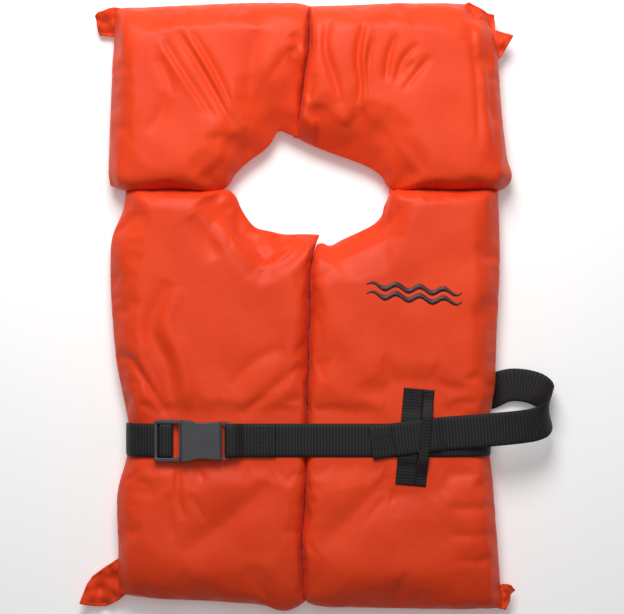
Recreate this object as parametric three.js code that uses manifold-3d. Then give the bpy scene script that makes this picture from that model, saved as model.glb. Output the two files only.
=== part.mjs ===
// Adult keyhole life jacket: foam-filled chest panels and collar in a sewn shell, with a webbing
// waist belt and a side-release buckle. It lies on its back: +Z is up and out of its front, +Y runs
// from the hem to the collar, and +X to the wearer's left. Millimetres.

import * as THREE from 'three';
import { mergeVertices } from 'three/addons/utils/BufferGeometryUtils.js';
import Module from 'manifold-3d';

const wasm = await Module();
wasm.setup();

// ---------------------------------------------------------------- driving dimensions
const touch = 0.3; // gap left between pieces that touch
const cloth = 1.5; // wall of a cover, with its lining
const seamLip = 0.6; // height of a cover's sewn edge
const centreX = 3; // centre line of the front opening and of the collar seam

const hemY = 5;
const foldY = 484.5; // line on which the collar folds
const collarTopY = 699;
const seamZ = 22; // height of the sewn edge between front and back covers
const chestTopZ = 48;
const collarTopZ = 52;
const foldSlope = 50; // degrees, slope of the pillow ends beside the fold
const panelGap = 0.6; // between the two chest panels at the front opening

const hemHalf = { left: 213, right: 228 }; // outlines, half widths from x = 0
const waistHalf = { left: 199.5, right: 214 };
const chestHalf = { left: 220.5, right: 225 };
const foldHalf = { left: 204, right: 224 };
const collarLowHalf = { left: 224, right: 238 };
const collarHighHalf = { left: 218.5, right: 221 };
const waistStretch = 54; // length of outline that the belt pulls straight

const neckHalfWidth = 90;
const neckCentreY = 487;
const neckBelow = 53; // reach of the neck hole towards the hem
const neckAbove = 62; // and towards the top of the collar

const channelWidth = 8; // stitched flat strips between pockets
const channelThickness = 1.6;
const tabThickness = 2;
const tabs = { // unfilled corners of the shell
  bottomLeft: { out: 43, along: 46, lift: 6 },
  bottomRight: { out: 18, along: 24, lift: 16 },
  topLeft: { out: 21, along: 36, lift: 10 },
  topRight: { out: 21, along: 46, lift: 34 },
};

const foamThickness = 12;
const foamSheets = 3;
const foamInsets = [22, 9, 18]; // from the panel's edge, lowest sheet first
const foamNeckInset = 28; // more than that at the neck hole
const foamBedding = 0.9; // between the lowest sheet and the back cover
const foamFoldInset = 24;

const beltY = 199.5;
const webWidth = 38;
const webThickness = 2;
const webClearance = 0.5; // round the belt where the back covers lie on it
const backRunEnd = { left: -150, right: waistHalf.right - 9 };
const returnY = 248.5; // where the belt comes back under the right edge
const wrapLegLength = 50; // webbing that reaches under the jacket from an edge
const beltLeavesX = waistHalf.right + 2; // where the belt's slack leaves the right edge
const loopLowZ = 12.8; // height at which the slack loop turns back under the edge
const boxStitchLength = 25;
const boxStitchWidth = 29;
const threadSize = 0.8;

const keeperWidth = 35;
const keeperThickness = 1.6;
const keeperSlotShare = 0.66; // of the keeper's width lies under the belt end
const keeperTilt = 5.2; // degrees
const keeperLength = 110;
const keeperX = 127;
const keeperY = 203;

const buckleWidth = 47;
const buckleThickness = 12;
const socketMouthX = -137.4;
const socketBodyLength = 44;
const socketWaist = 40; // width at the narrowest point of the socket
const tailBarX = -86.6; // near side of the bar that holds the socket strap
const tailBarWidth = 8.6;
const tailSlot = 4.7;
const plugFrameLength = 30.6; // ladder lock, outside the socket
const plugBarWidth = 12;
const plugRail = 4;
const prongLength = 33;
const prongThickness = 6;
const prongHeight = 6;
const prongBarb = 5;
const guideWidth = 7;
const runningGap = 0.4; // between plug and socket

// ---------------------------------------------------------------- materials
function material(color, roughness, metalness = 0) {
  return new THREE.MeshStandardMaterial({ color, roughness, metalness });
}
const shell = material('#e4502f', 0.5);
const foamLook = material('#e9e6da', 0.9);
const webbing = material('#1e1a1a', 0.8);
const threadLook = material('#141212', 0.7);
const buckleLook = material('#4a464b', 0.4);

// ---------------------------------------------------------------- geometry helpers
function toManifold(geometry) {
  const bare = geometry.clone();
  bare.deleteAttribute('normal');
  bare.deleteAttribute('uv');
  const merged = mergeVertices(bare, 1e-4);
  return new wasm.Manifold(new wasm.Mesh({
    numProp: 3,
    vertProperties: new Float32Array(merged.attributes.position.array),
    triVerts: new Uint32Array(merged.index.array),
  }));
}

function toGeometry(solid) {
  const mesh = solid.getMesh();
  const geometry = new THREE.BufferGeometry();
  geometry.setAttribute('position', new THREE.BufferAttribute(mesh.vertProperties, 3));
  geometry.setIndex(new THREE.BufferAttribute(mesh.triVerts, 1));
  geometry.computeVertexNormals();
  return geometry;
}

function indexed(points, triangles) {
  const geometry = new THREE.BufferGeometry();
  geometry.setAttribute('position', new THREE.Float32BufferAttribute(points.flat(), 3));
  geometry.setIndex(triangles.flat());
  return geometry;
}

// a flat outline raised from z0 to z1
function plate(outline, z0, z1) {
  const shape = new THREE.Shape(outline.map(([x, y]) => new THREE.Vector2(x, y)));
  const geometry = new THREE.ExtrudeGeometry(shape, { depth: z1 - z0, bevelEnabled: false });
  return geometry.translate(0, 0, z0);
}

function block([x0, y0, z0], [x1, y1, z1]) {
  const geometry = new THREE.BoxGeometry(x1 - x0, y1 - y0, z1 - z0);
  return geometry.translate((x0 + x1) / 2, (y0 + y1) / 2, (z0 + z1) / 2);
}

function unite(geometries) {
  return geometries.map(toManifold).reduce((whole, piece) => whole.add(piece));
}

// Flat webbing along a list of stations, each {at: [x, y, z], across: [x, y, z]}.
function strip(stations, width, thickness) {
  const at = stations.map((s) => new THREE.Vector3(...s.at));
  const last = at.length - 1;
  const points = [];
  stations.forEach((station, i) => {
    const before = at[i].clone().sub(at[Math.max(i - 1, 0)]).normalize();
    const after = at[Math.min(i + 1, last)].clone().sub(at[i]).normalize();
    const tangent = before.clone().add(after).normalize();
    const across = new THREE.Vector3(...(station.across ?? [0, 1, 0])).normalize();
    const up = across.clone().cross(tangent).normalize().negate();
    const straight = i === 0 ? after : before;
    const mitre = Math.max(Math.abs(straight.dot(tangent)), 0.5);
    const side = across.multiplyScalar(width / 2);
    const lift = up.multiplyScalar(thickness / 2 / mitre);
    for (const [a, b] of [[-1, -1], [1, -1], [1, 1], [-1, 1]]) {
      const corner = at[i].clone().addScaledVector(side, a).addScaledVector(lift, b);
      points.push(corner.toArray());
    }
  });
  const triangles = [[0, 1, 2], [0, 2, 3]];
  for (let i = 0; i < last; i += 1) {
    for (let k = 0; k < 4; k += 1) {
      const [a, b] = [4 * i + k, 4 * i + ((k + 1) % 4)];
      triangles.push([a, a + 4, b + 4], [a, b + 4, b]);
    }
  }
  const end = 4 * last;
  triangles.push([end, end + 2, end + 1], [end, end + 3, end + 2]);
  return outward(indexed(points, triangles));
}

function outward(geometry) {
  const position = geometry.attributes.position;
  const index = geometry.index.array;
  const [a, b, c] = [new THREE.Vector3(), new THREE.Vector3(), new THREE.Vector3()];
  let volume = 0;
  for (let i = 0; i < index.length; i += 3) {
    a.fromBufferAttribute(position, index[i]);
    b.fromBufferAttribute(position, index[i + 1]);
    c.fromBufferAttribute(position, index[i + 2]);
    volume += a.dot(b.cross(c));
  }
  if (volume < 0) {
    for (let i = 0; i < index.length; i += 3) {
      [index[i], index[i + 1]] = [index[i + 1], index[i]];
    }
  }
  return geometry;
}

// straight stations in the plane of the belt, from a list of [x, z]
function beltStations(path, y = beltY) {
  return path.map(([x, z]) => ({ at: [x, y, z] }));
}

// ---------------------------------------------------------------- outlines of the panels
function smoothStep(t) {
  const s = Math.min(Math.max(t, 0), 1);
  return s * s * (3 - 2 * s);
}

function between(y, y0, y1, a, b) {
  return a + (b - a) * smoothStep((y - y0) / (y1 - y0));
}

const waistLow = beltY - waistStretch / 2; // heights at which the outline changes
const waistHigh = beltY + waistStretch / 2;
const chestY = waistHigh + 0.6 * (foldY - waistHigh);
const chestShoulderY = foldY - 50;
const collarY = foldY + 25;

// half width of the jacket on one side at height y
function sideHalf(side, y) {
  if (y < waistLow) return between(y, hemY, waistLow, hemHalf[side], waistHalf[side]);
  if (y < waistHigh) return waistHalf[side];
  if (y < chestY) return between(y, waistHigh, chestY, waistHalf[side], chestHalf[side]);
  if (y < chestShoulderY) return chestHalf[side];
  if (y < foldY) return between(y, chestShoulderY, foldY, chestHalf[side], foldHalf[side]);
  if (y < collarY) return between(y, foldY, collarY, foldHalf[side], collarLowHalf[side]);
  return between(y, collarY, collarTopY, collarLowHalf[side], collarHighHalf[side]);
}

function neckRadii(y, inset) {
  return [neckHalfWidth + inset, (y < neckCentreY ? neckBelow : neckAbove) + inset];
}

// how far a point lies outside the neck hole
function neckDistance(x, y) {
  const [a, b] = neckRadii(y, 0);
  const u = (x - centreX) / a;
  const v = (y - neckCentreY) / b;
  const r = Math.hypot(u, v);
  const slope = Math.hypot(u / a, v / b);
  return ((r * r - 1) / (2 * slope)) * (2 / (1 + 1 / r));
}

// the neck hole's half width at height y
function neckReach(y, inset) {
  const [a, b] = neckRadii(y, inset);
  const v = (y - neckCentreY) / b;
  return Math.abs(v) < 1 ? a * Math.sqrt(1 - v * v) : 0;
}

const chestPocket = {
  keyRows: [hemY + 90, waistLow, waistHigh, (waistHigh + chestY) / 2, chestY, chestShoulderY],
  far: hemY, near: foldY - channelWidth / 2 - touch,
  centreInset: panelGap / 2, neckFar: neckCentreY - neckBelow, top: chestTopZ,
};
const collarPocket = {
  keyRows: [0.25, 0.5, 0.75, 1].map((t) => collarTopY + t * (collarY - collarTopY)),
  far: collarTopY, near: foldY + channelWidth / 2 + touch,
  centreInset: channelWidth / 2 + touch, neckFar: neckCentreY + neckAbove, top: collarTopZ,
};

// outer and inner edge of a pocket at height y, as signed x
function pocketEdges(pocket, side, y, inset, neckInset = inset) {
  const sign = side === 'left' ? -1 : 1;
  const outer = sign * (sideHalf(side, y) - inset);
  const reach = Math.max(pocket.centreInset + inset, neckReach(y, neckInset));
  return [outer, centreX + sign * reach];
}

// ---------------------------------------------------------------- covers
const frontKnots = [[0, 0], [1.5, 0.32], [5, 0.58], [12, 0.8], [26, 0.94], [44, 1]];
const backKnots = [[0, 0], [2, 0.45], [6, 0.8], [12, 0.96], [18, 1], [36, 1]];

function profileAt(knots, distance) {
  if (distance <= 0) return 0;
  for (let i = 1; i < knots.length; i += 1) {
    const [d0, f0] = knots[i - 1];
    const [d1, f1] = knots[i];
    if (distance < d1) return f0 + ((f1 - f0) * (distance - d0)) / (d1 - d0);
  }
  return 1;
}

function spaced(values, gap) {
  const sorted = [...values].sort((a, b) => a - b);
  const kept = [sorted[0]];
  for (const value of sorted) {
    if (value - kept[kept.length - 1] > gap) kept.push(value);
  }
  const end = sorted[sorted.length - 1];
  if (end - kept[kept.length - 1] > 0) kept[kept.length - 1] = end;
  return kept;
}

// One half of a pocket's filling, closed by a flat face on its sewn edge: a pillow that rises by
// `rise` away from z = base. `upward` is 1 for a front and -1 for a back. An inset pillow stays
// further from the neck hole, where the shell is gathered and thicker.
function pillow(pocket, side, { inset, base, lip, rise, upward, knots }) {
  const towardsFold = Math.sign(pocket.near - pocket.far);
  const far = pocket.far + towardsFold * inset;
  const near = pocket.near - towardsFold * inset;
  const length = Math.abs(near - far);
  const slope = Math.tan(THREE.MathUtils.degToRad(foldSlope));
  const neckRow = Math.abs(pocket.neckFar - far);
  const reaches = knots.map(([d]) => d);
  const rowSteps = spaced([
    ...reaches, ...pocket.keyRows.map((y) => Math.abs(y - far)),
    ...reaches.slice(2).map((d) => neckRow - d), neckRow,
    neckRow + 4, neckRow + 16, neckRow + 36, neckRow + 66,
    length - (rise / slope) * 1.001, length - rise / slope / 2, length,
  ].filter((d) => d >= 0 && d <= length), 2.5);
  const rows = rowSteps.map((d) => far + towardsFold * d);
  const points = [];
  const add = (x, y, z) => points.push([x, y, z]) - 1;
  const heightAt = (x, y, outer, inner) => {
    const edge = Math.min(
      Math.abs(x - outer), Math.abs(inner - x), Math.abs(y - far), neckDistance(x, y) - 3 * inset,
    );
    const folded = Math.abs(near - y) * slope;
    return lip + Math.min(rise * profileAt(knots, edge), folded);
  };
  const grid = rows.map((y) => {
    const [outer, inner] = pocketEdges(pocket, side, y, inset);
    const width = Math.abs(inner - outer);
    const edges = reaches.map((d) => Math.min(d / width, 0.35));
    const along = [...edges, 0.5, ...edges.map((t) => 1 - t).reverse()];
    return along.map((t) => {
      const x = outer + (inner - outer) * t;
      return [x, y, heightAt(x, y, outer, inner)];
    });
  });
  const faces = [];
  const top = grid.map((row) => row.map(([x, y, h]) => add(x, y, base + upward * h)));
  const bottom = grid.map((row) => row.map(([x, y]) => add(x, y, base)));
  const quad = (a, b, c, d) => faces.push([a, b, c], [a, c, d]);
  const [m, n] = [grid.length - 1, grid[0].length - 1];
  for (let i = 0; i < m; i += 1) {
    for (let k = 0; k < n; k += 1) {
      quad(top[i][k], top[i][k + 1], top[i + 1][k + 1], top[i + 1][k]);
      quad(bottom[i][k], bottom[i + 1][k], bottom[i + 1][k + 1], bottom[i][k + 1]);
    }
    quad(bottom[i][n], bottom[i + 1][n], top[i + 1][n], top[i][n]);
    quad(bottom[i + 1][0], bottom[i][0], top[i][0], top[i + 1][0]);
  }
  for (let k = 0; k < n; k += 1) {
    quad(bottom[0][k], bottom[0][k + 1], top[0][k + 1], top[0][k]);
    quad(bottom[m][k + 1], bottom[m][k], top[m][k], top[m][k + 1]);
  }
  return toManifold(outward(indexed(points, faces)));
}

const frontBase = seamZ + touch / 2;
const backBase = seamZ - touch / 2;

function frontCover(pocket, side) {
  const rise = pocket.top - frontBase - seamLip;
  const common = { upward: 1, knots: frontKnots };
  const outer = pillow(pocket, side, { ...common, inset: 0, base: frontBase, lip: seamLip, rise });
  const inner = pillow(pocket, side, {
    ...common, inset: cloth, base: frontBase - 1, lip: 1 + seamLip, rise: rise - cloth,
  });
  return toGeometry(outer.subtract(inner));
}

// The back covers lie on the belt, which presses a groove into them.
function backCover(pocket, side) {
  const rise = backBase - seamLip;
  const common = { upward: -1, knots: backKnots };
  let outer = pillow(pocket, side, { ...common, inset: 0, base: backBase, lip: seamLip, rise });
  let inner = pillow(pocket, side, {
    ...common, inset: cloth, base: backBase + 1, lip: 1 + seamLip, rise: rise - cloth,
  });
  for (const run of beltUnderneath()) {
    outer = outer.subtract(groove(run, webClearance));
    inner = inner.subtract(groove(run, webClearance + cloth));
  }
  return toGeometry(outer.subtract(inner));
}

// ---------------------------------------------------------------- belt routes
const sideSign = { left: -1, right: 1 };

// Path [x, z] of webbing that goes round an edge of the jacket at the belt, from the crown of the
// front down to the table; `lift` is from the covers to the middle of the webbing.
function roundEdge(side, lift) {
  const frontRise = chestTopZ - frontBase - seamLip;
  const backRise = backBase - seamLip;
  const front = frontKnots.slice(1).reverse()
    .map(([d, f]) => [d, frontBase + seamLip + frontRise * f]);
  const back = backKnots.slice(1)
    .map(([d, f]) => [d, backBase - seamLip - backRise * f]);
  const points = [...front, [0, frontBase], [0, backBase], ...back];
  const moved = offsetPath(points, lift);
  const low = moved.findIndex(([, z]) => z < beltZ);
  const [[d0, z0], [d1, z1]] = [moved[low - 1], moved[low]];
  const landing = d0 + ((d1 - d0) * (z0 - beltZ)) / (z0 - z1);
  return [...moved.slice(0, low), [landing, beltZ]]
    .map(([d, z]) => [sideSign[side] * (waistHalf[side] - d), z]);
}

// the line that runs `distance` outside a convex line of points
function offsetPath(points, distance) {
  const normal = (p, q) => {
    const size = Math.hypot(q[0] - p[0], q[1] - p[1]);
    return [(q[1] - p[1]) / size, (p[0] - q[0]) / size];
  };
  return points.map((point, i) => {
    const before = i > 0 ? normal(points[i - 1], point) : normal(point, points[1]);
    const after = i < points.length - 1 ? normal(point, points[i + 1]) : before;
    const [nx, nz] = [before[0] + after[0], before[1] + after[1]];
    const reach = (2 * distance) / (nx * nx + nz * nz);
    return [point[0] + nx * reach, point[1] + nz * reach];
  });
}

const beltZ = webThickness / 2; // middle of webbing that lies on the table
const frontBeltZ = chestTopZ + touch + webThickness / 2;
const layer = webThickness + touch; // from one layer of webbing to the next

function beltUnderneath() {
  return [
    beltStations([[-waistHalf.left - 60, beltZ], [buckleLegX(), beltZ]]),
    beltStations([[waistHalf.right - wrapLegLength, beltZ], [waistHalf.right + 10, beltZ]]),
    backRun(14),
  ];
}

// the slanting run of belt under the jacket, lengthened at its right end by `extra`
function backRun(extra = 0) {
  const [dx, dy] = [backRunEnd.right - backRunEnd.left, returnY - beltY];
  const across = [-dy, dx, 0];
  return [
    { at: [backRunEnd.left, beltY, beltZ], across },
    { at: [backRunEnd.right + extra, returnY + (extra * dy) / dx, beltZ], across },
  ];
}

const backRunSkew = Math.atan2(returnY - beltY, backRunEnd.right - backRunEnd.left);

// where the buckle strap's leg under the jacket meets the skewed end of the back run
function buckleLegX() {
  return backRunEnd.left - (webWidth / 2) * Math.sin(backRunSkew) - touch;
}

function groove(stations, clearance) {
  const [first, last] = [stations[0], stations[stations.length - 1]];
  const low = { ...first, at: [first.at[0] - clearance, first.at[1], 0] };
  const high = { ...last, at: [last.at[0] + clearance, last.at[1], 0] };
  const depth = webThickness + clearance;
  return toManifold(strip([low, high], webWidth + 2 * clearance, 2 * depth));
}

// ---------------------------------------------------------------- webbing and thread
const rad = THREE.MathUtils.degToRad;

// a station of webbing laid at a heading in plan and rolled about its length, both in degrees
function station(x, y, z, heading = 0, roll = 0) {
  const [h, r] = [rad(heading), rad(roll)];
  return { at: [x, y, z], across: [-Math.sin(h) * Math.cos(r), Math.cos(h) * Math.cos(r), Math.sin(r)] };
}

function socketStrap() {
  const overBar = buckleBase + buckleThickness - 2;
  const endX = tailBarX + tailBarWidth + boxStitchLength + 22;
  const slotX = tailBarX - tailSlot / 2;
  return strip(beltStations([
    [endX, frontBeltZ + layer], [tailBarX + tailBarWidth + 11, frontBeltZ + layer],
    [tailBarX + tailBarWidth + 2, overBar], [slotX, overBar], [slotX, frontBeltZ],
    ...roundEdge('right', touch + webThickness / 2), [waistHalf.right - wrapLegLength, beltZ],
  ]), webWidth, webThickness);
}

function buckleStrap() {
  const overBar = plugBarTop + touch + webThickness / 2;
  const firstLayer = touch + webThickness / 2;
  const tail = roundEdge('left', firstLayer + layer).slice(1).filter(([, z]) => z > tailEndZ);
  return strip(beltStations([
    [buckleLegX(), beltZ], ...roundEdge('left', firstLayer).reverse(),
    [innerSlotX, frontBeltZ], [innerSlotX, overBar], [outerSlotX, overBar],
    [outerSlotX, frontBeltZ + layer], ...tail,
  ]), webWidth, webThickness);
}

const beltEndX = 77; // where the belt's sewn end lies on the socket strap
const overKeeperZ = frontBeltZ + layer + keeperThickness + touch;
const slackTopZ = frontBeltZ + layer - 0.5;

function beltEndStrap() {
  const onStrap = frontBeltZ + layer;
  return strip([
    station(beltEndX, 196.3, onStrap, 8), station(101.5, 200, onStrap, 8),
    station(104.5, 200.5, overKeeperZ, 8), station(152, 206.6, overKeeperZ, 7),
    station(160, 207.4, onStrap, 6), station(190, 209.6, onStrap, 5),
    station(beltLeavesX, 211.7, slackTopZ, 5),
  ], webWidth, webThickness);
}

// The loop hangs out beyond the right edge: rows [out, y, height, heading], with `out` from where
// the belt leaves the edge, y from the belt's line and height as a share of the drop.
function slackLoop() {
  const rows = [
    [touch, 12.2, 1, 5], [14, 13.4, 0.982, 5], [30, 14.9, 0.935, 4], [46, 16.9, 0.841, 3],
    [58, 20.5, 0.71, 2], [64.5, 28.5, 0.527, 0], [66, 38.5, 0.332, 0], [63.5, 48.5, 0.136, 0],
    [55, 56.5, 0, 0],
  ];
  return strip(rows.map(([out, y, height, heading]) => station(
    beltLeavesX + out, beltY + y, loopLowZ + height * (slackTopZ - loopLowZ), heading,
  )), webWidth, webThickness);
}

// From the loop back under the edge: rows [out, y, z, heading], with y from the return line.
function returnStrap() {
  const skew = THREE.MathUtils.radToDeg(backRunSkew);
  const rows = [
    [55 - 2 * touch, 7.8, loopLowZ, 0], [41, 11.5, 10.4, 0], [26, 12.5, 8.4, 2],
    [14, 9.7, 6, 4], [5, 4.5, 3.2, 6], [-2, 1.3, 1.6, skew],
  ];
  return strip([
    ...rows.map(([out, y, z, heading]) => station(beltLeavesX + out, returnY + y, z, heading)),
    station(backRunEnd.right + touch, returnY, beltZ, skew),
  ], webWidth, webThickness);
}

function beltBackRun() {
  return strip(backRun(), webWidth, webThickness);
}

// a point on the keeper, `along` its length and `off` its middle line
function onKeeper(along, off) {
  const t = rad(keeperTilt);
  return [
    keeperX + along * Math.sin(t) + off * Math.cos(t),
    keeperY + along * Math.cos(t) - off * Math.sin(t),
  ];
}

// The keeper is sewn down at both ends; a slot along it lets the belt end pass from the top of its
// wider band to the underside of its narrower band.
function keeper() {
  const across = [Math.cos(rad(keeperTilt)), -Math.sin(rad(keeperTilt)), 0];
  const sewn = chestTopZ + touch + keeperThickness / 2;
  const overStrap = frontBeltZ + webThickness / 2 + touch + keeperThickness / 2;
  const overEnd = overKeeperZ + webThickness / 2 + touch + keeperThickness / 2;
  const end = keeperLength / 2;
  const band = (profile, off, width) => strip(
    profile.map(([along, z]) => ({ at: [...onKeeper(along, off), z], across })),
    width, keeperThickness,
  );
  const slot = keeperWidth * (keeperSlotShare - 0.5);
  const wide = band(
    [[-end, sewn], [-33, sewn], [-26, overStrap], [22, overStrap], [30, sewn], [end, sewn]],
    (slot - keeperWidth / 2) / 2, slot + keeperWidth / 2,
  );
  const narrow = band(
    [[-end, sewn], [-42, sewn], [-27, overEnd], [26, overEnd], [42, sewn], [end, sewn]],
    (slot + keeperWidth / 2) / 2 - 0.1, keeperWidth / 2 - slot + 0.2,
  );
  return toGeometry(unite([wide, narrow]));
}

// a box stitch: a rectangle of thread with its two diagonals, left by four three-cornered holes
function boxStitch(length, width, x, y, z, turn) {
  const [hx, hy] = [(length + threadSize) / 2, (width + threadSize) / 2];
  const shape = rectangle(hx, hy);
  const [ix, iy] = [hx - threadSize, hy - threadSize];
  const size = Math.hypot(ix, iy);
  const [backX, backY] = [(threadSize / 2) * (size / iy), (threadSize / 2) * (size / ix)];
  const holes = [
    [[backX - ix, -iy], [ix - backX, -iy], [0, -backY]],
    [[backX - ix, iy], [0, backY], [ix - backX, iy]],
    [[-ix, backY - iy], [-backX, 0], [-ix, iy - backY]],
    [[ix, backY - iy], [ix, iy - backY], [backX, 0]],
  ];
  shape.holes = holes.map((hole) => new THREE.Path(hole.map(([u, v]) => new THREE.Vector2(u, v))));
  const geometry = new THREE.ExtrudeGeometry(shape, { depth: threadSize / 2, bevelEnabled: false });
  return geometry.rotateZ(rad(turn)).translate(x, y, z);
}

function rectangle(halfX, halfY) {
  return new THREE.Shape([[-1, -1], [1, -1], [1, 1], [-1, 1]]
    .map(([a, b]) => new THREE.Vector2(a * halfX, b * halfY)));
}

// ---------------------------------------------------------------- buckle
const buckleBase = chestTopZ + 2 * touch;
const buckleTop = buckleBase + buckleThickness;
const plugBarTop = buckleBase + 6.8;
const plugBarBase = plugBarTop - 4;
const plugEndX = socketMouthX - plugFrameLength;
const outerSlotX = plugEndX + 5.7; // middle of the webbing in each slot of the ladder lock
const innerSlotX = plugEndX + 20.2;
const tailEndZ = 12;
const prongBase = buckleBase + (buckleThickness - prongHeight) / 2;
const mouthHalf = 18; // half width of the socket's channel

function mirrored(outline) {
  return [...outline, ...outline.map(([x, y]) => [x, -y]).reverse()];
}

function atBelt(geometry) {
  return geometry.translate(0, beltY, 0);
}

function buckleSocket() {
  const half = buckleWidth / 2;
  const end = socketMouthX + socketBodyLength;
  const waistX = socketMouthX + 0.52 * socketBodyLength;
  const tailEnd = tailBarX + tailBarWidth;
  const body = mirrored([
    [socketMouthX, half], [socketMouthX + 9, half - 0.6], [waistX - 6, socketWaist / 2 + 0.6],
    [waistX, socketWaist / 2], [waistX + 6, socketWaist / 2 + 0.4], [end - 3, half - 2],
    [end, half - 2.4],
  ]);
  const tail = mirrored([
    [end - 3, half - 2], [end + 8, half - 1.8], [tailEnd - 3, half - 3.4], [tailEnd, half - 7],
  ]);
  const hollowBase = prongBase - runningGap;
  const hollowTop = prongBase + prongHeight + runningGap;
  const windows = [socketMouthX + 15, socketMouthX + 33.5];
  const solid = unite([
    plate(body, buckleBase, buckleTop), plate(tail, buckleBase + 2.6, buckleTop - 3.2),
  ])
    .subtract(toManifold(block([socketMouthX - 1, -mouthHalf, hollowBase],
      [windows[1] + 2, mouthHalf, hollowTop])))
    .subtract(toManifold(block([windows[0], -half - 1, hollowBase],
      [windows[1], half + 1, hollowTop])))
    .subtract(toManifold(block([tailBarX - tailSlot, -webWidth / 2 - 1, buckleBase - 1],
      [tailBarX, webWidth / 2 + 1, buckleTop + 1])));
  return atBelt(toGeometry(solid));
}

function bucklePlug() {
  const half = buckleWidth / 2;
  const faceX = socketMouthX - touch;
  const inside = half - plugRail;
  const rails = [-1, 1].map((s) => plate([
    [plugEndX, s * inside], [faceX, s * inside], [faceX, s * half], [plugEndX + 3, s * half],
    [plugEndX, s * (half - 2)],
  ], buckleBase + 1.4, buckleTop - 3));
  const bar = (x0, x1, z0, z1) => block([x0, -inside - 1, z0], [x1, inside + 1, z1]);
  const solid = unite([
    ...rails,
    bar(plugEndX, plugEndX + 3.4, plugBarTop - 1.6, buckleTop - 3.4),
    bar(plugEndX + 8, plugEndX + 8 + plugBarWidth - 2.6, plugBarBase, plugBarTop),
    bar(faceX - 2, faceX, buckleBase + 1.2, buckleTop - 0.6),
    block([faceX - 1, -guideWidth / 2, prongBase], [socketMouthX + prongLength - 1, guideWidth / 2,
      prongBase + prongHeight]),
  ]);
  return atBelt(toGeometry(solid));
}

// one of the plug's two flexing prongs; `hand` is 1 for the upper one
function prong(hand) {
  const outer = mouthHalf - runningGap;
  const inner = outer - prongThickness;
  const root = socketMouthX;
  const tip = root + prongLength;
  const shoulder = root + 15 + runningGap;
  const outline = [
    [root, (inner + outer) / 2], [root + 0.9, inner], [tip, inner + 1], [tip, inner + 3.5],
    [tip - 7, outer + prongBarb / 2], [shoulder, outer + prongBarb / 2], [shoulder, outer],
    [root + 0.9, outer],
  ].map(([x, y]) => [x, hand * y]);
  return atBelt(plate(outline, prongBase, prongBase + prongHeight));
}

// ---------------------------------------------------------------- channels and tabs
function channelPlate([x0, y0], [x1, y1]) {
  return block([x0, y0, seamZ - channelThickness / 2], [x1, y1, seamZ + channelThickness / 2]);
}

function shoulderChannel(side) {
  const sign = sideSign[side];
  const outer = sign * (foldHalf[side] - 1);
  const inner = centreX + sign * (neckReach(foldY, 0) + 1);
  const [x0, x1] = [Math.min(outer, inner), Math.max(outer, inner)];
  return channelPlate([x0, foldY - channelWidth / 2], [x1, foldY + channelWidth / 2]);
}

function centreChannel() {
  return channelPlate([centreX - channelWidth / 2, neckCentreY + neckAbove + 1],
    [centreX + channelWidth / 2, collarTopY - 1]);
}

// A corner of the shell with no filling: it sticks out from the side by `out`, and its root runs
// `along` the side from the corner.
function cornerTab(side, farY, { out, along, lift }) {
  const sign = sideSign[side];
  const towards = Math.sign(foldY - farY);
  const edge = (d) => {
    const y = farY + towards * d;
    return [sign * (sideHalf(side, y) + 2 * touch), y];
  };
  const root = [0, 0.33, 0.67, 1].map((t) => edge(1 + t * along));
  const tip = [sign * (sideHalf(side, farY) + out), farY + towards * lift];
  const low = [sign * (sideHalf(side, farY) + 0.6 * out), farY + towards * 0.5];
  return plate([...root, tip, low], seamZ - tabThickness / 2, seamZ + tabThickness / 2);
}

// ---------------------------------------------------------------- foam
function foamOutline(pocket, side, inset) {
  const towardsFold = Math.sign(pocket.near - pocket.far);
  const far = pocket.far + towardsFold * inset;
  const near = pocket.near - towardsFold * foamFoldInset;
  const neckRow = Math.abs(pocket.neckFar - far) - inset - foamNeckInset;
  const length = Math.abs(near - far);
  const keys = pocket.keyRows.map((y) => Math.abs(y - far));
  const pastNeck = [0, 3, 12, 36, 66].map((d) => neckRow + d);
  const steps = spaced([0, ...keys, ...pastNeck, length].filter((d) => d <= length), 2);
  const edges = steps.map((d) => far + towardsFold * d)
    .map((y) => [y, ...pocketEdges(pocket, side, y, inset, inset + foamNeckInset)]);
  return [
    ...edges.map(([y, outer]) => [outer, y]),
    ...edges.map(([y, , inner]) => [inner, y]).reverse(),
  ];
}

// ---------------------------------------------------------------- assembly
const jacket = new THREE.Group();

function addPart(name, geometry, look) {
  const mesh = new THREE.Mesh(geometry, look);
  mesh.name = name;
  jacket.add(mesh);
}

const pockets = { chest: chestPocket, collar: collarPocket };
for (const side of ['left', 'right']) {
  for (const [place, pocket] of Object.entries(pockets)) {
    addPart(`${side}_${place}_front_cover`, frontCover(pocket, side), shell);
    addPart(`${side}_${place}_back_cover`, backCover(pocket, side), shell);
    const overBelt = place === 'chest' ? webThickness + webClearance : 0;
    let z = overBelt + cloth + foamBedding;
    for (let sheet = 0; sheet < foamSheets; sheet += 1) {
      const outline = foamOutline(pocket, side, foamInsets[sheet]);
      addPart(`${side}_${place}_foam_${sheet + 1}`, plate(outline, z, z + foamThickness), foamLook);
      z += foamThickness + touch;
    }
  }
}

for (const side of ['left', 'right']) {
  addPart(`${side}_shoulder_channel`, shoulderChannel(side), shell);
}
addPart('collar_centre_channel', centreChannel(), shell);
addPart('bottom_left_tab', cornerTab('left', hemY, tabs.bottomLeft), shell);
addPart('bottom_right_tab', cornerTab('right', hemY, tabs.bottomRight), shell);
addPart('top_left_tab', cornerTab('left', collarTopY, tabs.topLeft), shell);
addPart('top_right_tab', cornerTab('right', collarTopY, tabs.topRight), shell);

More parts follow.
